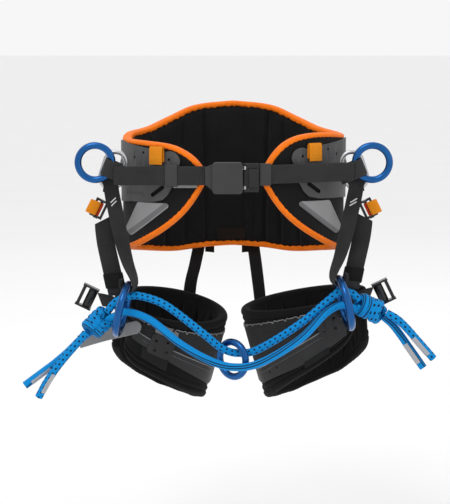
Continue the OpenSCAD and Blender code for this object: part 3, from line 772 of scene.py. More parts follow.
# %% Edging
def edging_line():
    """The closed line of the edging, its corners rounded by averaging over a few millimetres."""
    there = np.linspace(-belt_end, belt_end, 400)
    ends = [belt_at(s * (belt_end + 1.2), binding_out, sum(belt_edges(np.array(s * belt_end))) / 2)[None]
            for s in (1, -1)]
    low, high = belt_edges(there)
    line = np.vstack([belt_at(there, binding_out, high), ends[0],
                      belt_at(there, binding_out, low)[::-1], ends[1]])
    line = even(np.vstack([line, line[:1]]), 0.0012)[1]
    n = len(line) - 1
    near = (np.arange(n)[:, None] + np.arange(-5, 6)[None, :]) % n
    line = line[near].mean(1)
    return np.vstack([line, line[:1]])


def edging():
    line = edging_line()
    run = run_along(line)
    t = unit(np.roll(line[:-1], -1, 0) - np.roll(line[:-1], 1, 0))
    t = np.vstack([t, t[:1]])
    out = unit(line * (1 / belt_half[0], 1 / belt_half[1], 0))
    away = unit(np.cross(t, out))
    face = np.cross(away, t)
    v = np.linspace(0, 1, 37)
    c, s = np.cos(turn * v), np.sin(turn * v)
    gather = (np.sin(turn * run / 0.0113) + 0.6 * np.sin(turn * run / 0.0071 + 1) * np.sin(turn * run / 0.051)
              + 0.5 * np.sin(turn * run / 0.029))
    lip = np.exp(-((v - 0.62) / 0.07) ** 2)
    seam = np.exp(-((v - 0.365) / 0.018) ** 2)
    pucker = (0.5 + 0.5 * np.sin(turn * run[:, None] / 0.0085)) * np.exp(-((v - 0.33) / 0.05) ** 2)
    reach = 1 + 0.12 * gather[:, None] * lip[None, :] - 0.09 * seam[None, :] - 0.055 * pucker
    across = np.sign(c) * np.abs(c) ** 0.85 * binding_r
    deep = np.sign(s) * np.abs(s) ** 0.85 * 0.0072
    grid = line[:, None] + reach[..., None] * (away[:, None] * across[None, :, None]
                                               + face[:, None] * deep[None, :, None])
    grid[-1] = grid[0]
    uv = np.stack(np.broadcast_arrays(run[:, None], v[None, :]), -1)
    return surface("belt_edging", grid, uv, (True, True))


piece(edging(), orange_binding, stands_for=["belt_binding"])

# %% [markdown]
# ## Webbing
# Webbing is a flat ribbon with round selvedges. It follows keys: a place and the
# direction of its width at that place. Where the weave's ribs are coarse enough to
# see, they are in the mesh: the half thickness swells once each rib.

# %% Webbing
def keyed(rows):
    """Keys of [x, y, z, wx, wy, wz] with the place in metres."""
    rows = np.array(rows, float)
    rows[:, :3] *= 0.001
    return rows


def mirrored(rows, side):
    """Keys for one side: the left pieces are the right ones with x reversed."""
    rows = np.array(rows, float)
    rows[:, [0, 3]] *= side_sign[side]
    return rows


def section(width, thick, n=11, power=8):
    """Outline of a flat layer, over the top and back: across it s runs from -1 to 1, and half the
    thickness is the square root of 1 - s^power."""
    s = -np.cos(np.linspace(0, np.pi, n))
    h = np.sqrt(1 - s**power)
    return np.r_[s, s[-2::-1]] * width / 2, np.r_[h, -h[-2::-1]] * thick / 2


def webbing(name, keys, width, thick, n=6, rib=0.0, pitch=0.0037, slant=0.12, step=None):
    """Ribbon along keys; with rib its half thickness is 1 + rib cos(turn (u + slant v) / pitch)."""
    run, line = even(smooth(keyed(keys), n), step or (0.0008 if rib else 0.002))
    across = unit(line[:, 3:6])
    up = unit(np.cross(np.gradient(line[:, :3], axis=0), across))
    x, y = section(width, thick)
    ribs = 1 + rib * np.cos(turn * (run[:, None] + slant * x[None, :]) / pitch)
    grid = (line[:, None, :3] + across[:, None] * x[None, :, None]
            + up[:, None] * (ribs * y[None, :])[..., None])
    return surface(name, grid, np.stack(np.broadcast_arrays(run[:, None], x[None, :]), -1),
                   (False, True), True, 50)


def back_line(height, out, width_way=(0, 0, 1)):
    """Keys round the back of the belt at a height, from hip to hip."""
    angle = np.linspace(-98, 98, 41)
    return np.hstack([belt_at(angle, out, height) * 1000, np.tile(width_way, (41, 1))])


load_webbing = webbing("belt_load_webbing", back_line(0.004, 0.0052), 0.044, 0.0023, 2, 0.22, 0.0042)
piece(load_webbing, webbing_cloth, stands_for=["back_webbing"])

# %% [markdown]
# ## Stitching
# A row of stitches is hundreds of short threads, each a spindle with four sides. The
# whole row is one mesh: the same few corners repeated at even steps along the line.

# %% Stitching
def stitching(name, lines, up, finish, long=0.0024, gap=0.0014, thick=0.00042):
    """Spindles along each line: radius thick at the middle, and 0.4 of it at both ends."""
    spots, ways = [], []
    for line in lines:
        run, points = even(np.asarray(line, float), long + gap)
        spots.append((points[1:] + points[:-1]) / 2)
        ways.append(unit(np.diff(points, axis=0)))
    spots, ways = np.vstack(spots), np.vstack(ways)
    side = unit(np.cross(ways, np.broadcast_to(up, ways.shape)))
    over = np.cross(side, ways)
    w = np.arange(4) * turn / 4
    ring = side[:, None] * np.cos(w)[None, :, None] + over[:, None] * np.sin(w)[None, :, None]
    length = np.array((-0.5, 0, 0.5))[None, :, None, None] * long
    reach = np.array((0.4, 1, 0.4))[None, :, None, None] * thick
    places = (spots[:, None, None] + ways[:, None, None] * length + ring[:, None] * reach).reshape(-1, 3)
    quads = [[4 * r + j, 4 * r + (j + 1) % 4, 4 * r + 4 + (j + 1) % 4, 4 * r + 4 + j]
             for r in (0, 1) for j in range(4)] + [[3, 2, 1, 0], [8, 9, 10, 11]]
    faces = (np.array(quads)[None] + 12 * np.arange(len(spots))[:, None, None]).reshape(-1, 4)
    mesh = bpy.data.meshes.new(name)
    mesh.from_pydata(places, [], faces)
    mesh.uv_layers.new(name="UVMap")
    mesh.shade_smooth()
    return piece(mesh, finish)


for edge, height in (("low", -0.0145), ("high", 0.0225)):
    lines = [belt_at(np.linspace(-96, 96, 300), 0.0066, height)]
    stitching("belt_webbing_seam_" + edge, lines, upright, grey_thread)

# %% [markdown]
# ## Hard parts with soft edges
# Moulded and milled parts never have knife edges. A copy of the CAD mesh has its
# loose triangles joined and its flat faces made whole, and a Bevel rounds every edge
# sharper than 35 degrees. The copy then stands for its CAD node.

# %% Softened copies
def softened(node, finish, width, rounds=2, merge=1e-6):
    """The node's own shape with its sharp edges rounded by width."""
    shape = bmesh.new()
    shape.from_mesh(cad[node].data)
    bmesh.ops.remove_doubles(shape, verts=shape.verts, dist=merge)
    bmesh.ops.dissolve_limit(shape, angle_limit=np.radians(1), verts=shape.verts, edges=shape.edges)
    mesh = bpy.data.meshes.new(node + "_soft")
    shape.to_mesh(mesh)
    shape.free()
    mesh.shade_smooth()
    made = piece(mesh, finish, cad[node]["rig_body"], [node])
    bevel = made.modifiers.new("edges", "BEVEL")
    bevel.width = width
    bevel.segments = rounds
    bevel.limit_method = "ANGLE"
    bevel.angle_limit = np.radians(35)
    bevel.harden_normals = True
    return made


for side in side_name:
    softened("hip_plate_" + side, hip_plastic, 0.0009)
    softened("leg_plate_" + side, plate_plastic, 0.0006)
    softened("riser_buckle_" + side, black_metal, 0.0007)
    softened("leg_buckle_" + side, black_metal, 0.0009)
    softened("leg_roller_" + side, black_metal, 0.0012)
softened("buckle_cover", cover_plastic, 0.0016, 3)
softened("buckle_body", steel, 0.0005)
softened("adjuster_frame", plate_plastic, 0.0010)

# %% [markdown]
# ## Front strap
# The front strap runs from the buckle to each side ring's loop. Its weave has strong
# cross ribs, so they are in the mesh. A moulded keeper slides on each half. Both
# halves stay straight, so the keepers can travel along them.

# %% Front strap
strap_near, strap_far = np.array([38, -131, 11.5]), np.array([178, -105, 11.5])
strap_rise = 0.018
strap_w, strap_t = 0.028, 0.0024


def strap_point(side, x, behind=0.0, up=0.0):
    """Place in millimetres on the strap at distance x from the middle: on the line from near to far,
    raised by the strap's slope times x."""
    p = strap_near + (x - strap_near[0]) / (strap_far - strap_near)[0] * (strap_far - strap_near)
    return [side_sign[side] * p[0], p[1] + behind, p[2] + strap_rise * side_sign[side] * x + up]


def flat_keys(side, places, behind=0.0, up=0.0):
    return [strap_point(side, x, behind, up) + [0, 0, 1] for x in places]


for side, name in enumerate(side_name):
    start = (36, 38)[side]
    mesh = webbing("front_strap_webbing_" + name, flat_keys(side, (start, 178)), strap_w, strap_t, 1, 0.30,
                   0.0037, (0.12, 0.22)[side], 0.0007)
    piece(mesh, webbing_cloth, stands_for=["front_strap_" + name])
    rows = [[mm(strap_point(side, x, -1.45, up)) for up in np.linspace(-12, 12, 9)] for x in (137.8, 142.2)]
    stitching("front_strap_seam_" + name, rows, (0, 1, 0), black_thread)

tail = webbing("front_strap_tail", flat_keys(0, (54, 89), 4.9, -8.0), 0.021, 0.0016, 1)
piece(tail, grey_tape)

# %% [markdown]
# A keeper is a closed sleeve: a band that goes round the strap on a rounded
# rectangle, x = a |cos w|^0.3 and z = b |sin w|^0.3 with the signs of cos and sin.

# %% Keepers
def band_round(name, centre, way, sides, halves, width, thick, around=96):
    """A band with the webbing's section, carried round a rounded rectangle about the direction way;
    sides are the rectangle's two directions and halves its half sizes along them."""
    w = np.linspace(0, turn, around + 1)
    c, s = np.cos(w), np.sin(w)
    line = centre + sum((np.sign(k) * np.abs(k) ** 0.3 * half)[:, None] * side
                        for k, side, half in zip((c, s), sides, halves))
    out = unit(sum(k[:, None] * side / half for k, side, half in zip((c, s), sides, halves)))
    x, y = section(width, thick)
    grid = line[:, None] + way * x[None, :, None] + out[:, None] * y[None, :, None]
    grid[-1] = grid[0]
    uv = np.stack(np.broadcast_arrays(run_along(line)[:, None], x[None, :]), -1)
    return surface(name, grid, uv, (True, True), crease=60)


for side, name in enumerate(side_name):
    way = unit((strap_far - strap_near) * (side_sign[side], 1, 1))
    centre = mm(strap_point(side, (92, 46)[side]))
    mesh = band_round("keeper_sleeve_" + name, centre, way, (np.cross(way, upright), upright),
                      (0.0025, 0.01565), (0.018, 0.017)[side], 0.0015)
    piece(mesh, cover_plastic, "keeper_" + name, ["strap_keeper_" + name])

# %% [markdown]
# The webbing turns round the adjuster's bar. The frame tilts on its hinge, and this
# turn crosses that joint, so it is baked where it stands and joins no body.

# %% Adjuster webbing
turn_keys = [[x, y, 7.6, 0, 0, 1] for x, y in (
    (31.8, -130.6), (29, -130.5), (26, -130.2), (22.8, -131.6), (21.9, -134), (22.8, -136.4),
    (26, -137.9), (30, -138), (36.2, -138))]
loop = webbing("adjuster_turn", turn_keys, 0.0275, 0.0014, 4, 0.2, 0.0037, 0.1, 0.0006)
piece(loop, webbing_cloth, "adjuster", ["adjuster_webbing"],
      ("harness", "adjuster", mm((37, -134, 7.6)), mm((27, -134, 7.6))))

# %% [markdown]
# ## Ring loops
# Each side ring is held by a fold of webbing. Its path is straight out from the belt,
# half a circle round the ring's bar, and straight back.

# %% Ring loops
ring_at = np.array([206.5, -92, 27])
grip = np.radians(22)
grip_in = np.array((-np.cos(grip), 0, -np.sin(grip)))
grip_axis = np.array((np.sin(grip), 0, -np.cos(grip)))
grip_at = ring_at + 23.8 * grip_in
loop_r = 10
fold = [[30, -loop_r], [16, -loop_r], [5, -loop_r]]
fold += [[-loop_r * np.sin(w), -loop_r * np.cos(w)] for w in np.radians(np.arange(0, 181, 22.5))]
fold += [[5, loop_r], [16, loop_r]]
for side, name in enumerate(side_name):
    keys = mirrored([[*(grip_at + grip_in * a + (0, b, 0)), *grip_axis] for a, b in fold], side)
    mesh = webbing("side_loop_webbing_" + name, keys, 0.026, strap_t, 3, 0.25, 0.0037, 0.1)
    piece(mesh, webbing_cloth, stands_for=["side_loop_" + name])

# %% [markdown]
# ## Risers
# Two straps hang from each hip ring. The front one folds over the ring's lower bar
# and under the bridge ring; the rear one runs from the adjuster buckle to a sleeve and
# a folded end. The left ones hang a little lower.

# %% Risers
def lower(rows, side):
    """Keys with the left side let down: 9 mm below height -100, less above it."""
    rows = np.array(rows, float)
    if side == 0:
        rows[:, 2] -= 9 * np.clip(-rows[:, 2] / 100, 0, 1)
    return mirrored(rows, side)


riser_front_keys = [
    [186, -64, -18, 1, 0, 0], [185, -64.5, -4, 1, 0, 0], [184.5, -68.5, 4.5, 1, 0, 0],
    [184.5, -75.5, 4.5, 1, 0, 0], [184.5, -79, -4, 1, 0, 0], [183, -80, -16, 1, 0, 0],
    [178, -83, -40, 1, -0.2, -0.1], [169, -91, -78, 1, -0.4, -0.1], [159, -101, -112, 0.8, -0.7, 0],
    [149.5, -111, -134, 0.5, -0.9, 0], [147, -114, -146, 0.3, -1, 0], [150.5, -115, -153.1, 0.2, -1, 0],
    [160, -115, -154.1, 0.2, -1, 0], [167, -115, -147, 0.2, -1, 0], [167.5, -113, -136, 0.2, -1, 0]]
riser_rear_keys = [[197, -76, -56, 1, -0.15, -0.5], [195.5, -77, -68, 1, -0.1, -0.3],
                   [192, -80, -90, 1, -0.1, -0.15], [185, -88, -119, 1, -0.1, -0.15],
                   [179.5, -96, -140, 1, -0.1, -0.1], [177.5, -98.5, -150, 1, -0.1, -0.1]]
for side, name in enumerate(side_name):
    front = webbing("riser_front_webbing_" + name, lower(riser_front_keys, side), 0.023, strap_t, 8)
    piece(front, twill_webbing, stands_for=["riser_front_" + name])
    rear = webbing("riser_rear_webbing_" + name, lower(riser_rear_keys, side), 0.027, strap_t, 8)
    piece(rear, twill_webbing, stands_for=["riser_rear_" + name])
    keys = keyed(lower(riser_rear_keys, side))
    way = unit(keys[-1, :3] - keys[-3, :3])
    across = unit(keys[-1, 3:6])
    up = np.cross(way, across)
    sleeve = band_round("riser_sleeve_" + name, keys[-2, :3] + way * 0.001, way, (across, up),
                        (0.0144, 0.0030), 0.022, 0.0011, 80)
    piece(sleeve, plain_webbing)
    end = keys[-1, :3]
    fold_path = [end - way * 0.006, end + way * 0.004, end + way * 0.009 + up * 0.0015,
                 end + way * 0.0115 + up * 0.0045, end + way * 0.009 + up * 0.0072,
                 end + way * 0.002 + up * 0.008]
    fold_keys = [[*(p * 1000), *across] for p in fold_path]
    piece(webbing("riser_fold_" + name, fold_keys, 0.0255, strap_t, 8), twill_webbing)
    marks = even(smooth(keyed(lower(riser_front_keys, side)), 8), 0.001)[1]
    first = np.argmin(np.abs(marks[:, 2] + 0.027) + (marks[:, 1] > -0.075))
    for number, start in enumerate((first, first + 5)):
        part = marks[start:start + 8]
        lean = np.linspace(-0.0045, 0.0045, len(part))[:, None] * side_sign[side]
        line = part[:, :3] - unit(part[:, 3:6]) * lean + np.array((0, -0.0013, 0))
        grid, uv = tube(line, 0.0009, backwards, 8, 0.0010)
        mesh = surface("riser_mark_%s_%d" % (name, number), grid, uv, (False, True), True)
        piece(mesh, white_thread)

# %% [markdown]
# ## Release tabs
# The adjuster opens with a pull on an orange tab: webbing wrapped round the buckle's
# pin and folded double. The tab turns on the pin, so it rides on its own body.

# %% Release tabs
def buckle_place(local):
    """Riser buckle coordinates in millimetres, turned 64 degrees about Y into the frame's directions."""
    w = np.radians(64)
    local = np.asarray(local, float)
    x = local[..., 0] * np.cos(w) + local[..., 2] * np.sin(w)
    z = -local[..., 0] * np.sin(w) + local[..., 2] * np.cos(w)
    return np.stack([x, local[..., 1], z], -1)


tab_lean = np.radians(28)
pin = np.array((0, -7, -0.5))
buckle_at = (203, -70, -44)
flap = [(-1.6, 2.5), (-3.2, 3.9), (-4.3, 7), (-4.4, 13), (-3.9, 18.4), (-2.3, 19.6), (-0.9, 18.2),
        (-1.2, 12), (-1.6, 6)]
wrap = [(3.0 * np.sin(w), 3.0 * np.cos(w)) for w in np.linspace(-0.2 * turn, 0.72 * turn, 12)]
for side, name in enumerate(side_name):
    for part, path, finish in (("flap", flap, orange_webbing), ("wrap", wrap, red_webbing)):
        path = np.array(path)
        y, z = path[:, 0], path[:, 1]
        if part == "flap":
            y, z = (y * np.cos(tab_lean) - z * np.sin(tab_lean),
                    y * np.sin(tab_lean) + z * np.cos(tab_lean))
        local = np.stack([0 * y, y, z], -1) + pin
        places = buckle_place(local) + buckle_at
        across = buckle_place(np.array((1.0, 0, 0)))
        keys = mirrored([[*p, *across] for p in places], side)
        mesh = webbing("tab_%s_%s" % (part, name), keys, 0.0208, 0.0013, 6)
        piece(mesh, finish, "tab_" + name, ["release_tab_" + name])

# %% [markdown]
# ## Tags and patches
# A folded orange tag stands on each wing, sewn down with yellow thread.

# %% Tags
for side, name in enumerate(side_name):
    angle = belt_angle(mm((108, 113.5))[side])
    base = mm((25, 30))[side]
    w = np.radians(angle)
    across = [np.cos(w) * belt_half[0], -np.sin(w) * belt_half[1], 0]
    sheet = [[4.5, 4], [4.6, 18], [5.2, 24], [7, 26.5], [8.8, 24], [9.2, 17], [9.4, 0]]
    places = [belt_at(angle, mm(3 + out), base + mm(up)) for out, up in sheet]
    keys = mirrored([[*(p * 1000), *across] for p in places], side)
    mesh = webbing("tag_webbing_" + name, keys, 0.023, 0.0018, 5)
    piece(mesh, orange_webbing, stands_for=["tag_loop_" + name])
    way = unit(np.array(across)) * (side_sign[side], 1, 1)
    corner = belt_at(angle, mm(13.5), base) * (side_sign[side], 1, 1)
    rows = [[corner + way * s + upright * up for s in np.linspace(-0.0085, 0.0085, 5)]
            for up in mm((3, 7, 11))]
    stitching("tag_seam_" + name, rows, upright, yellow_thread, long=0.0016, gap=0.0018)

# %% [markdown]
# A soft grey patch with a raised rim protects the cloth below each hip plate. Its
# outline is a polygon with round corners, drawn inwards ring by ring.

# %% Patches
def rounded(corners, radius, count=140):
    """Closed outline with a round corner of this radius at each point of a convex shape."""
    corners = np.asarray(corners, float)
    edge = np.roll(corners, -1, 0) - corners
    facing = np.arctan2(-edge[:, 0], edge[:, 1])
    arcs = []
    for corner, start, stop in zip(corners, np.roll(facing, 1), facing):
        sweep = (stop - start + np.pi) % turn - np.pi
        w = start + sweep * np.linspace(0, 1, 9)
        arcs.append(corner + radius * np.stack([np.cos(w), np.sin(w)], -1))
    line = np.vstack(arcs + [arcs[0][:1]])
    run = run_along(line)
    at = np.linspace(0, run[-1], count + 1)
    return np.stack([np.interp(at, run, column) for column in line.T], 1)


def wing_pad(name, side, outline, levels, shift=(0, 0)):
    """Pad on the wing: rings of the outline drawn in towards its middle, each at its own height."""
    outline = outline + mm(shift)
    middle = outline[:-1].mean(0)
    rings = np.array([middle + (outline - middle) * scale for scale, out in levels])
    out = mm([out for scale, out in levels])[:, None]
    grid = belt_at(belt_angle(rings[..., 0]), out, rings[..., 1])
    grid[..., 0] *= side_sign[side]
    return surface(name, grid, rings, (False, True), True, 50)


def patch_finish():
    f = Finish("grey_patch", "grey_patch")
    slope = ((f.u - 0.0985) * (-0.648) + (f.v + 0.0365) * (-0.762)) * -1.0
    band = slope.step(-0.0026, -0.0018) * (1 - slope.step(0.0040, 0.0050))
    shade = band.mix((0.245, 0.245, 0.25), (0.125, 0.125, 0.13))
    return f.done(shade, 0.55, f.noise(1300, 2), 0.00015)


grey_patch = patch_finish()
patch = rounded(mm([[98.5, -36.5], [152, -82], [156, -77], [138, -37.5]]), 0.004)
for side, name in enumerate(side_name):
    levels = [(0.99, 3.5), (1.0, 4.6), (0.985, 5.3), (0.955, 5.6), (0.925, 5.3), (0.90, 4.9), (0.6, 5.0),
              (0.3, 5.1), (0.02, 5.1)]
    mesh = wing_pad("hip_patch_soft_" + name, side, patch, levels, ((0, 0), (0, 3))[side])
    piece(mesh, grey_patch, stands_for=["hip_patch_" + name])

# %% [markdown]
# ## Leg loops
# Each leg loop is an open pad that wraps the thigh from the outer front, round the
# inner side and the back. Seen from above it is an ellipse; angle 0 is the inner side
# and -90 the front. It narrows downwards, and its back hangs lower than its front.

# %% Leg loop shape
leg_at = mm(((-97, -3, -201), (110, 1, -191)))
leg_roll, leg_pitch = np.radians((10, 9.6)), np.radians((10, 2))
leg_half = mm(((91, 80), (101, 80)))
leg_thick = 0.014
leg_ends = (-138, 176)
pad_bottom = (
    ((-138, -70), (-132, -82), (-120, -90), (-90, -101), (-60, -117), (-30, -132), (0, -146), (30, -160),
     (60, -164), (90, -161), (120, -146), (150, -122), (168, -102), (176, -88)),
    ((-138, -50), (-132, -64), (-120, -77), (-90, -98), (-60, -118), (-30, -138), (0, -150), (30, -158),
     (60, -160), (90, -152), (120, -140), (150, -116), (168, -100), (176, -84)))


def table(rows, angle):
    """Height in metres at each angle, straight between the rows, softened over a few degrees."""
    at, height = np.array(rows, float).T
    near = np.interp(angle[..., None] + np.array((-4, -2, 0, 2, 4)), at, height)
    return mm(near.mean(-1))


def leg_place(side, angle, out, height):
    """Ring place ((a s + out) cos angle, (b s + out) sin angle, height) with s = 1 + height per metre,
    pitched about X, rolled about Y, mirrored for the right leg, then moved to the thigh."""
    w = np.radians(angle)
    s = 1 + np.minimum(height, 0)
    a, b = leg_half[side]
    x, y, z = np.broadcast_arrays((a * s + out) * np.cos(w), (b * s + out) * np.sin(w), height)
    c, d = np.cos(leg_pitch[side]), np.sin(leg_pitch[side])
    y, z = y * c - z * d, y * d + z * c
    c, d = np.cos(leg_roll[side]), np.sin(leg_roll[side])
    x, z = x * c + z * d, z * c - x * d
    return np.stack([x * (1, -1)[side], y, z], -1) + leg_at[side]


def leg_surface(name, side, grid_of):
    """Surface over angle and a second number, from rows of angle, out and height; u is the run round."""
    angle, out, height = np.broadcast_arrays(*grid_of)
    run = np.radians(angle) * 0.088
    across = height + out
    grid = leg_place(side, angle, out, height)
    if side:
        grid, run, across = grid[::-1], run[::-1], across[::-1]
    return surface(name, grid, np.stack([run, across], -1), (False, True), True, 60)


# %% [markdown]
# The padding is one closed body: down the quilted inside, under the lower rim, up the
# outside and over the upper rim. Both rims are rolled, so the section there is round.
# The sewn channels of the lining lie at fixed angles and fade out before the rims.

# %% Leg padding
leg_channels = ((8, 30, 57, 78, 100, 122, 143), (6, 25, 48, 69, 95, 117, 137))
rim_seam = 0.0095                   # from the rim to the seam inside
outer_seams = (0.0120, 0.0205)      # and to the two seams outside
face = np.linspace(0, 1, 66)
arc = np.linspace(0, np.pi, 13)[1:-1]


def leg_padding(side):
    """Each channel and seam is a groove exp(-(distance / width)^2) deep; both rims are half circles."""
    angle = np.linspace(*leg_ends, 400)[:, None]
    half = leg_thick / 2
    low = table(pad_bottom[side], angle) + half
    end = np.minimum(angle - leg_ends[0], leg_ends[1] - angle) * 0.0014
    slim = np.sqrt(np.clip(1 - (1 - np.clip(end / half, 0, 1)) ** 2, 0.03, 1))
    top = -half - 0 * angle
    inner = top + (low - top) * face
    outer = inner[:, ::-1]
    edge = np.minimum(-inner, inner - low + half)
    channel = sum(np.exp(-((angle - at - inner * 60) * 0.00135 / 0.0019) ** 2)
                  for at in leg_channels[side])
    fade = np.clip((edge - 0.013) / 0.014, 0, 1)
    plump = 0.0006 * np.sin(angle * 0.55 + inner * 70) * fade
    groove = np.exp(-((edge - rim_seam) / 0.0014) ** 2)
    inside = -leg_thick + (0.0046 * channel * fade + plump + 0.0014 * groove
                           + 0.0006 * (edge > rim_seam))
    rim = np.minimum(-outer, outer - low + half)
    outside = (-0.0022 * np.exp(-((rim - outer_seams[0]) / 0.0013) ** 2)
               - 0.0016 * np.exp(-((rim - outer_seams[1]) / 0.0013) ** 2)
               - 0.0014 * np.clip((rim - outer_seams[1]) / 0.002, 0, 1)
               + 0.0003 * np.sin(angle * 1.9) * np.exp(-(rim / 0.016) ** 2))
    gather = 1 + 0.05 * np.sin(angle * 2.6) + 0.04 * np.sin(angle * 4.3 + 1)
    under = low - half * np.sin(arc) * gather
    over = top + half * np.sin(arc)
    inside, outside = (-half + (part + half) * slim for part in (inside, outside))
    round_out = half * np.cos(arc) * slim
    out = np.concatenate([inside, -half - round_out, outside, round_out - half, inside[:, :1]], 1)
    height = np.concatenate([inner, under, outer, over, inner[:, :1]], 1)
    return leg_surface("leg_padding_" + side_name[side], side, (angle, out, height))


for side, name in enumerate(side_name):
    pad = piece(leg_padding(side), leg_cloth, stands_for=["leg_pad_" + name])

# %% [markdown]
# Over the pad's front lies a band of ribbed cloth, and along its lower part a smooth
# laminate strip that carries the load. A pale line shows on the strip's upper edge,
# and a row of stitches follows it. A thin frayed piping ends the cloth at the top.

# %% Leg bands
laminate = plastic("leg_laminate", "leg_cloth", (0.010, 0.010, 0.011), (0.020, 0.020, 0.021), 0.40,
                   700, 0.0001)
band_top = (((-124, -10), (-90, -12), (-50, -19), (0, -28), (50, -28)),
            ((-124, -9), (-97, -11), (-60, -17), (0, -28), (50, -28)))
strip_top = (((-124, -26), (-97, -39), (-79, -47.6), (-53, -63), (-20, -84), (4, -90)),
             ((-124, -26), (-102.5, -40), (-75, -60), (-38, -86.6), (-20, -96), (4, -98)))
strip_low = (((-124, -42), (-97, -56), (-80, -68), (-53, -88), (-20, -113), (-6, -111)),
             ((-124, -55), (-108, -67.5), (-77, -90), (-20, -120), (-6, -117)))
cloth_low = (((-124, -36), (-97, -50), (-80, -60), (-53, -76), (-20, -98), (-8, -98), (2, -61), (50, -54)),
             ((-124, -40), (-108, -55), (-77, -76), (-20, -106), (-8, -104), (2, -60), (50, -52)))


def wrapped(name, side, ends, top, low, inner, outer, count=220):
    """Flat layer over the pad between two height tables; its selvedges are round like webbing's."""
    angle = np.linspace(*ends, count)[:, None]
    high, deep = table(top, angle), table(low, angle)
    s, h = section(2, 2, 41, 12)
    height = (high + deep) / 2 + (high - deep) / 2 * s
    out = mm((inner + outer) / 2) + mm((outer - inner) / 2) * h
    return leg_surface(name, side, (angle, out + 0 * angle, height))


def leg_line(side, rows, out, lift=0.0, ends=None, count=300):
    """Line over the pad at a height table, raised by out millimetres."""
    at = np.linspace(*(ends or (rows[0][0], rows[-1][0])), count)
    return leg_place(side, at, mm(out), table(rows, at) + lift)


pale_edge = cloth("pale_edge", "grey_patch", (0.11, 0.11, 0.11), (0.30, 0.30, 0.30),
                  lambda f: f.noise(900))
for side, name in enumerate(side_name):
    low = (-124, -8)
    mesh = wrapped("leg_band_cloth_" + name, side, (-124, 50), band_top[side], cloth_low[side],
                   0.4, 1.5)
    piece(mesh, band_cloth, stands_for=["leg_band_" + name])
    mesh = wrapped("leg_strip_" + name, side, low, strip_top[side], strip_low[side], 1.3, 2.5)
    piece(mesh, laminate)
    for part, rows, lift, ends, radius in (("edge", strip_top[side], 0.0004, low, 0.0009),
                                           ("piping", band_top[side], 0.0012, (-124, 46), 0.0007)):
        line = leg_line(side, rows, 1.9 if part == "edge" else 1.0, lift, ends, 400)
        if part == "piping":
            k = np.arange(400)
            frayed = 0.0022 * (np.sin(k * 0.21) > 0.93)
            line[:, 2] += 0.0009 * np.sin(k * 0.55) * np.sin(k * 0.13 + 1) - frayed
        grid, uv = tube(line, radius, upright, 8, 0.0012)
        mesh = surface("leg_%s_%s" % (part, name), grid, uv, (False, True), True)
        piece(mesh, pale_edge)
    rows = leg_line(side, strip_top[side], 2.6, -0.0078, (-112, -24))
    stitching("leg_seam_" + name, [rows], (0, -1, 0), grey_thread, long=0.0015, gap=0.0012,
              thick=0.0003)

# %% [markdown]
# The left plate has a second, paler plate above it with its own holes. Each band has
# a blank label sewn below it, and the right strip ends in three small holes. Each hole
# is a near-black disc laid on top: the black pad seen through it, darkened by painted shade.

# %% Leg labels and holes
leg_label_cloth = cloth("leg_label_cloth", "leg_cloth", *shades(0.012, 0.3),
                        lambda f: f.weave(0.0005))
pale_plate = plastic("pale_plate", "grey_patch", (0.10, 0.10, 0.10), (0.19, 0.19, 0.19), 0.38)
# the holes are near-black discs: the black pad below plus painted shade in the hole
hole_shade = plastic("hole_shade", "plate_plastic", (0.002, 0.002, 0.002), (0.004, 0.004, 0.004), 0.7)


def disc(name, side, angle, height, out, radius, finish):
    """Small flat disc on the pad's outside, drawn as rings that shrink to its middle."""
    w = np.linspace(0, turn, 25)[None, :]
    r = np.array((1.0, 1.0, 0.5, 0.02))[:, None] * radius
    rise = np.array((0.0, 0.2, 0.2, 0.2))[:, None]
    mesh = leg_surface(name, side, (angle + np.degrees(r * np.cos(w) / 0.085), mm(out + rise),
                                    height + r * np.sin(w)))
    return piece(mesh, finish)


labels = (((-111, -49), (-83, -65)), ((-104.5, -67), (-79.5, -86)))
for side, name in enumerate(side_name):
    top = labels[side]
    low = tuple((a, z - (18.5, 9.5)[side]) for a, z in top)
    mesh = wrapped("leg_label_" + name, side, (top[0][0], top[1][0]), top, low, 2.6, 3.2, 40)
    piece(mesh, leg_label_cloth)
mesh = wrapped("leg_upper_plate", 0, (-100, -78), ((-100, -2), (-78, -16)), ((-100, -20), (-78, -35)),
               2.6, 4.4, 40)
piece(mesh, pale_plate)
for number, (angle, height) in enumerate(((-90.6, -12.5), (-83, -13.5))):
    disc("leg_upper_hole_%d" % number, 0, angle, mm(height), 4.3, 0.0016, hole_shade)
strip_holes = ((-51.2, -89.8, 0.0019), (-40.5, -98.2, 0.0019), (-28.1, -108.8, 0.0011))
for number, (angle, height, radius) in enumerate(strip_holes):
    disc("leg_strip_hole_%d" % number, 1, angle, mm(height), 2.45, radius, hole_shade)

# %% [markdown]
# ## Leg straps
# A strap leads from each leg buckle to the pad's front. The left one has a wide pale
# tail that stands out free, with a rounded end.

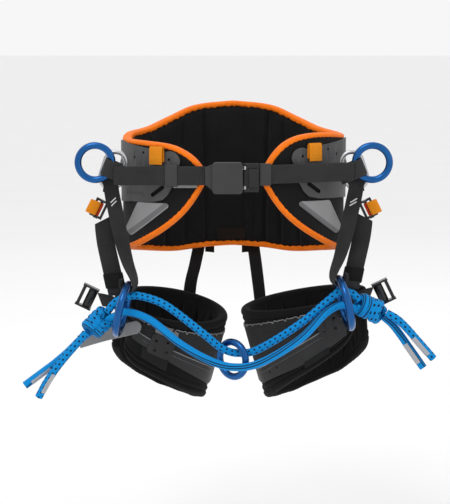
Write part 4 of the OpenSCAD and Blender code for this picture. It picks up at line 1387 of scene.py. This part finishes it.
# %% Leg straps
leg_strap_keys = (
    [[204, -53, -186, 0.35, 0, 1], [195, -57, -187, 0.3, 0, 1], [182, -60.5, -190, 0.25, 0, 1],
     [170, -63.5, -196, 0.2, 0, 1], [158, -66.5, -203, 0.2, 0, 1], [146, -74.5, -210, 0.2, 0, 1]],
    [[210, -53, -177, 0.35, 0, 1], [203, -57, -178, 0.3, 0, 1], [192, -61, -181, 0.25, 0, 1],
     [183, -61.5, -185, 0.2, 0, 1], [174, -64.5, -190, 0.2, 0, 1]])
leg_tail_keys = [[140, -84, -222, 0.1, 0, 1], [165, -76, -229, 0.15, 0, 1], [200, -72, -238, 0.2, 0, 1],
                 [236, -70, -249, 0.25, 0, 1]]
rear_strap_keys = (
    [[-54, 126, -100, 1, 0.1, 0], [-55, 125, -122, 1, 0.1, 0], [-61, 106, -152, 1, 0.1, 0],
     [-68, 86, -180, 1, 0.1, 0], [-71, 77, -206, 1, 0.05, 0]],
    [[32, 132, -100, 1, -0.05, 0], [33, 131, -122, 1, -0.05, 0], [37, 108, -152, 1, -0.1, 0],
     [41, 83, -184, 1, -0.25, 0], [44, 69, -212, 1, -0.4, 0]])
pale_tape = cloth("pale_tape", "grey_patch", (0.17, 0.17, 0.17), (0.33, 0.33, 0.33),
                  lambda f: f.weave(0.0011))
for side, name in enumerate(side_name):
    keys = mirrored(leg_strap_keys[side], side)
    mesh = webbing("leg_strap_webbing_" + name, keys, 0.022, strap_t, 8)
    piece(mesh, twill_webbing, stands_for=["leg_strap_" + name])
    mesh = webbing("rear_strap_webbing_" + name, rear_strap_keys[side], 0.020, strap_t, 8)
    piece(mesh, plain_webbing, stands_for=["rear_strap_" + name])
    x = (-38, 22)[side]
    step_keys = [[x, 128.5, -112, 1, 0, 0], [x, 128, -124, 1, 0, 0],
                 [x, 127, -137, 1, 0, 0.1 * side_sign[side]]]
    mesh = webbing("rear_strap_end_" + name, step_keys, 0.015, 0.0022, 6)
    piece(mesh, plain_webbing)


def free_tail():
    """Flat tape whose width shrinks as a quarter circle over its last part."""
    run, line = even(smooth(keyed(mirrored(leg_tail_keys, 0)), 12), 0.0012)
    across = unit(line[:, 3:6])
    up = unit(np.cross(np.gradient(line[:, :3], axis=0), across))
    left = np.clip(run / 0.010, 0, 1)
    narrow = np.sqrt(np.clip(1 - (1 - left) ** 2, 0.004, 1))[:, None]
    x, y = section(0.020, 0.0018)
    grid = (line[:, None, :3] + across[:, None] * (x * narrow)[..., None]
            + up[:, None] * (y + 0 * narrow)[..., None])
    uv = np.stack(np.broadcast_arrays(run[:, None], x * narrow), -1)
    return surface("leg_strap_tail", grid, uv, (False, True), True, 50)


piece(free_tail(), pale_tape)

# %% [markdown]
# ## Small details on the belt
# A blank brown label is sewn inside the back, and the left hip plate carries a row of
# small raised bars.

# %% Belt details
def belt_tile(name, x_range, z_range, out, thick, finish, front=False):
    """Thin tile that follows the belt: a flat rounded section carried along the belt's ellipse."""
    x = np.linspace(*mm(x_range), 24)[:, None]
    angle = belt_angle(x) if front else np.degrees(np.arcsin(x / belt_half[0]))
    s, h = section(2, 2, 15, 10)
    z = mm((z_range[0] + z_range[1]) / 2) + mm((z_range[1] - z_range[0]) / 2) * s
    grid = belt_at(angle, mm(out + thick / 2 * h)[None, :] + 0 * x, z[None, :] + 0 * x)
    uv = np.stack(np.broadcast_arrays(x, z[None, :]), -1)
    return piece(surface(name, grid, uv, (False, True), True, 50), finish)


belt_tile("belt_label", (-27, 21), (-113, -94), -13.4, 1.0, label_cloth)
bar_w = 2.4
for number in range(7):
    start = -157 + number * 4
    belt_tile("hip_bar_%d" % number, (start, start + bar_w), (-24, -19), 6.5, 0.7, hip_plastic,
              front=True)

# %% [markdown]
# ## Floor and light
# The harness hangs above a pale floor in front of a plain white room.

# %% Floor
def floor_finish():
    f = Finish("pale_floor", "")
    return f.done(f.noise(3).mix((0.90, 0.90, 0.90), (0.93, 0.93, 0.93)), 0.9)


floor_height = cad_box[0][2] - 0.25
corner = np.array([[-30, -30, floor_height], [30, -30, floor_height], [-30, 60, floor_height],
                   [30, 60, floor_height]]).reshape(2, 2, 3)
floor_mesh = surface("floor", corner[::-1], corner[..., :2])
floor = bpy.data.objects.new("floor", floor_mesh)
floor_mesh.materials.append(floor_finish())
scene.collection.objects.link(floor)
print("floor at", round(floor_height, 3), "m")

# %% [markdown]
# Three wide soft lights stand for a studio: one above in front, one low fill, and one
# behind that draws the edges of the black cloth.

# %% Light
def soft_light(name, place, size, power):
    """A square light at a place, turned towards the middle of the harness."""
    data = bpy.data.lights.new(name, "AREA")
    data.size = size
    data.energy = power
    made = bpy.data.objects.new(name, data)
    made.location = place
    made.rotation_euler = (Vector(aim) - Vector(place)).to_track_quat("-Z", "Y").to_euler()
    scene.collection.objects.link(made)


soft_light("key", (-0.9, -1.6, 2.6), 1.3, 24)
soft_light("fill", (2.0, -2.0, 0.6), 2.0, 4)
soft_light("rim", (0.4, 2.4, 2.2), 1.6, 12)
world = bpy.data.worlds.new("studio")
world.use_nodes = True
background = world.node_tree.nodes["Background"]
background.inputs["Strength"].default_value = 0.93
background.inputs["Color"].default_value = (1, 1, 1, 1)
scene.world = world
scene.view_settings.view_transform = "Standard"
print("three lights and a white room")

# %% [markdown]
# ## The CAD model's size
# The CAD model's box, taken before the dressing, is printed.

# %% Sizes and finish
print("CAD", [round(x, 3) for c in cad_box for x in c])
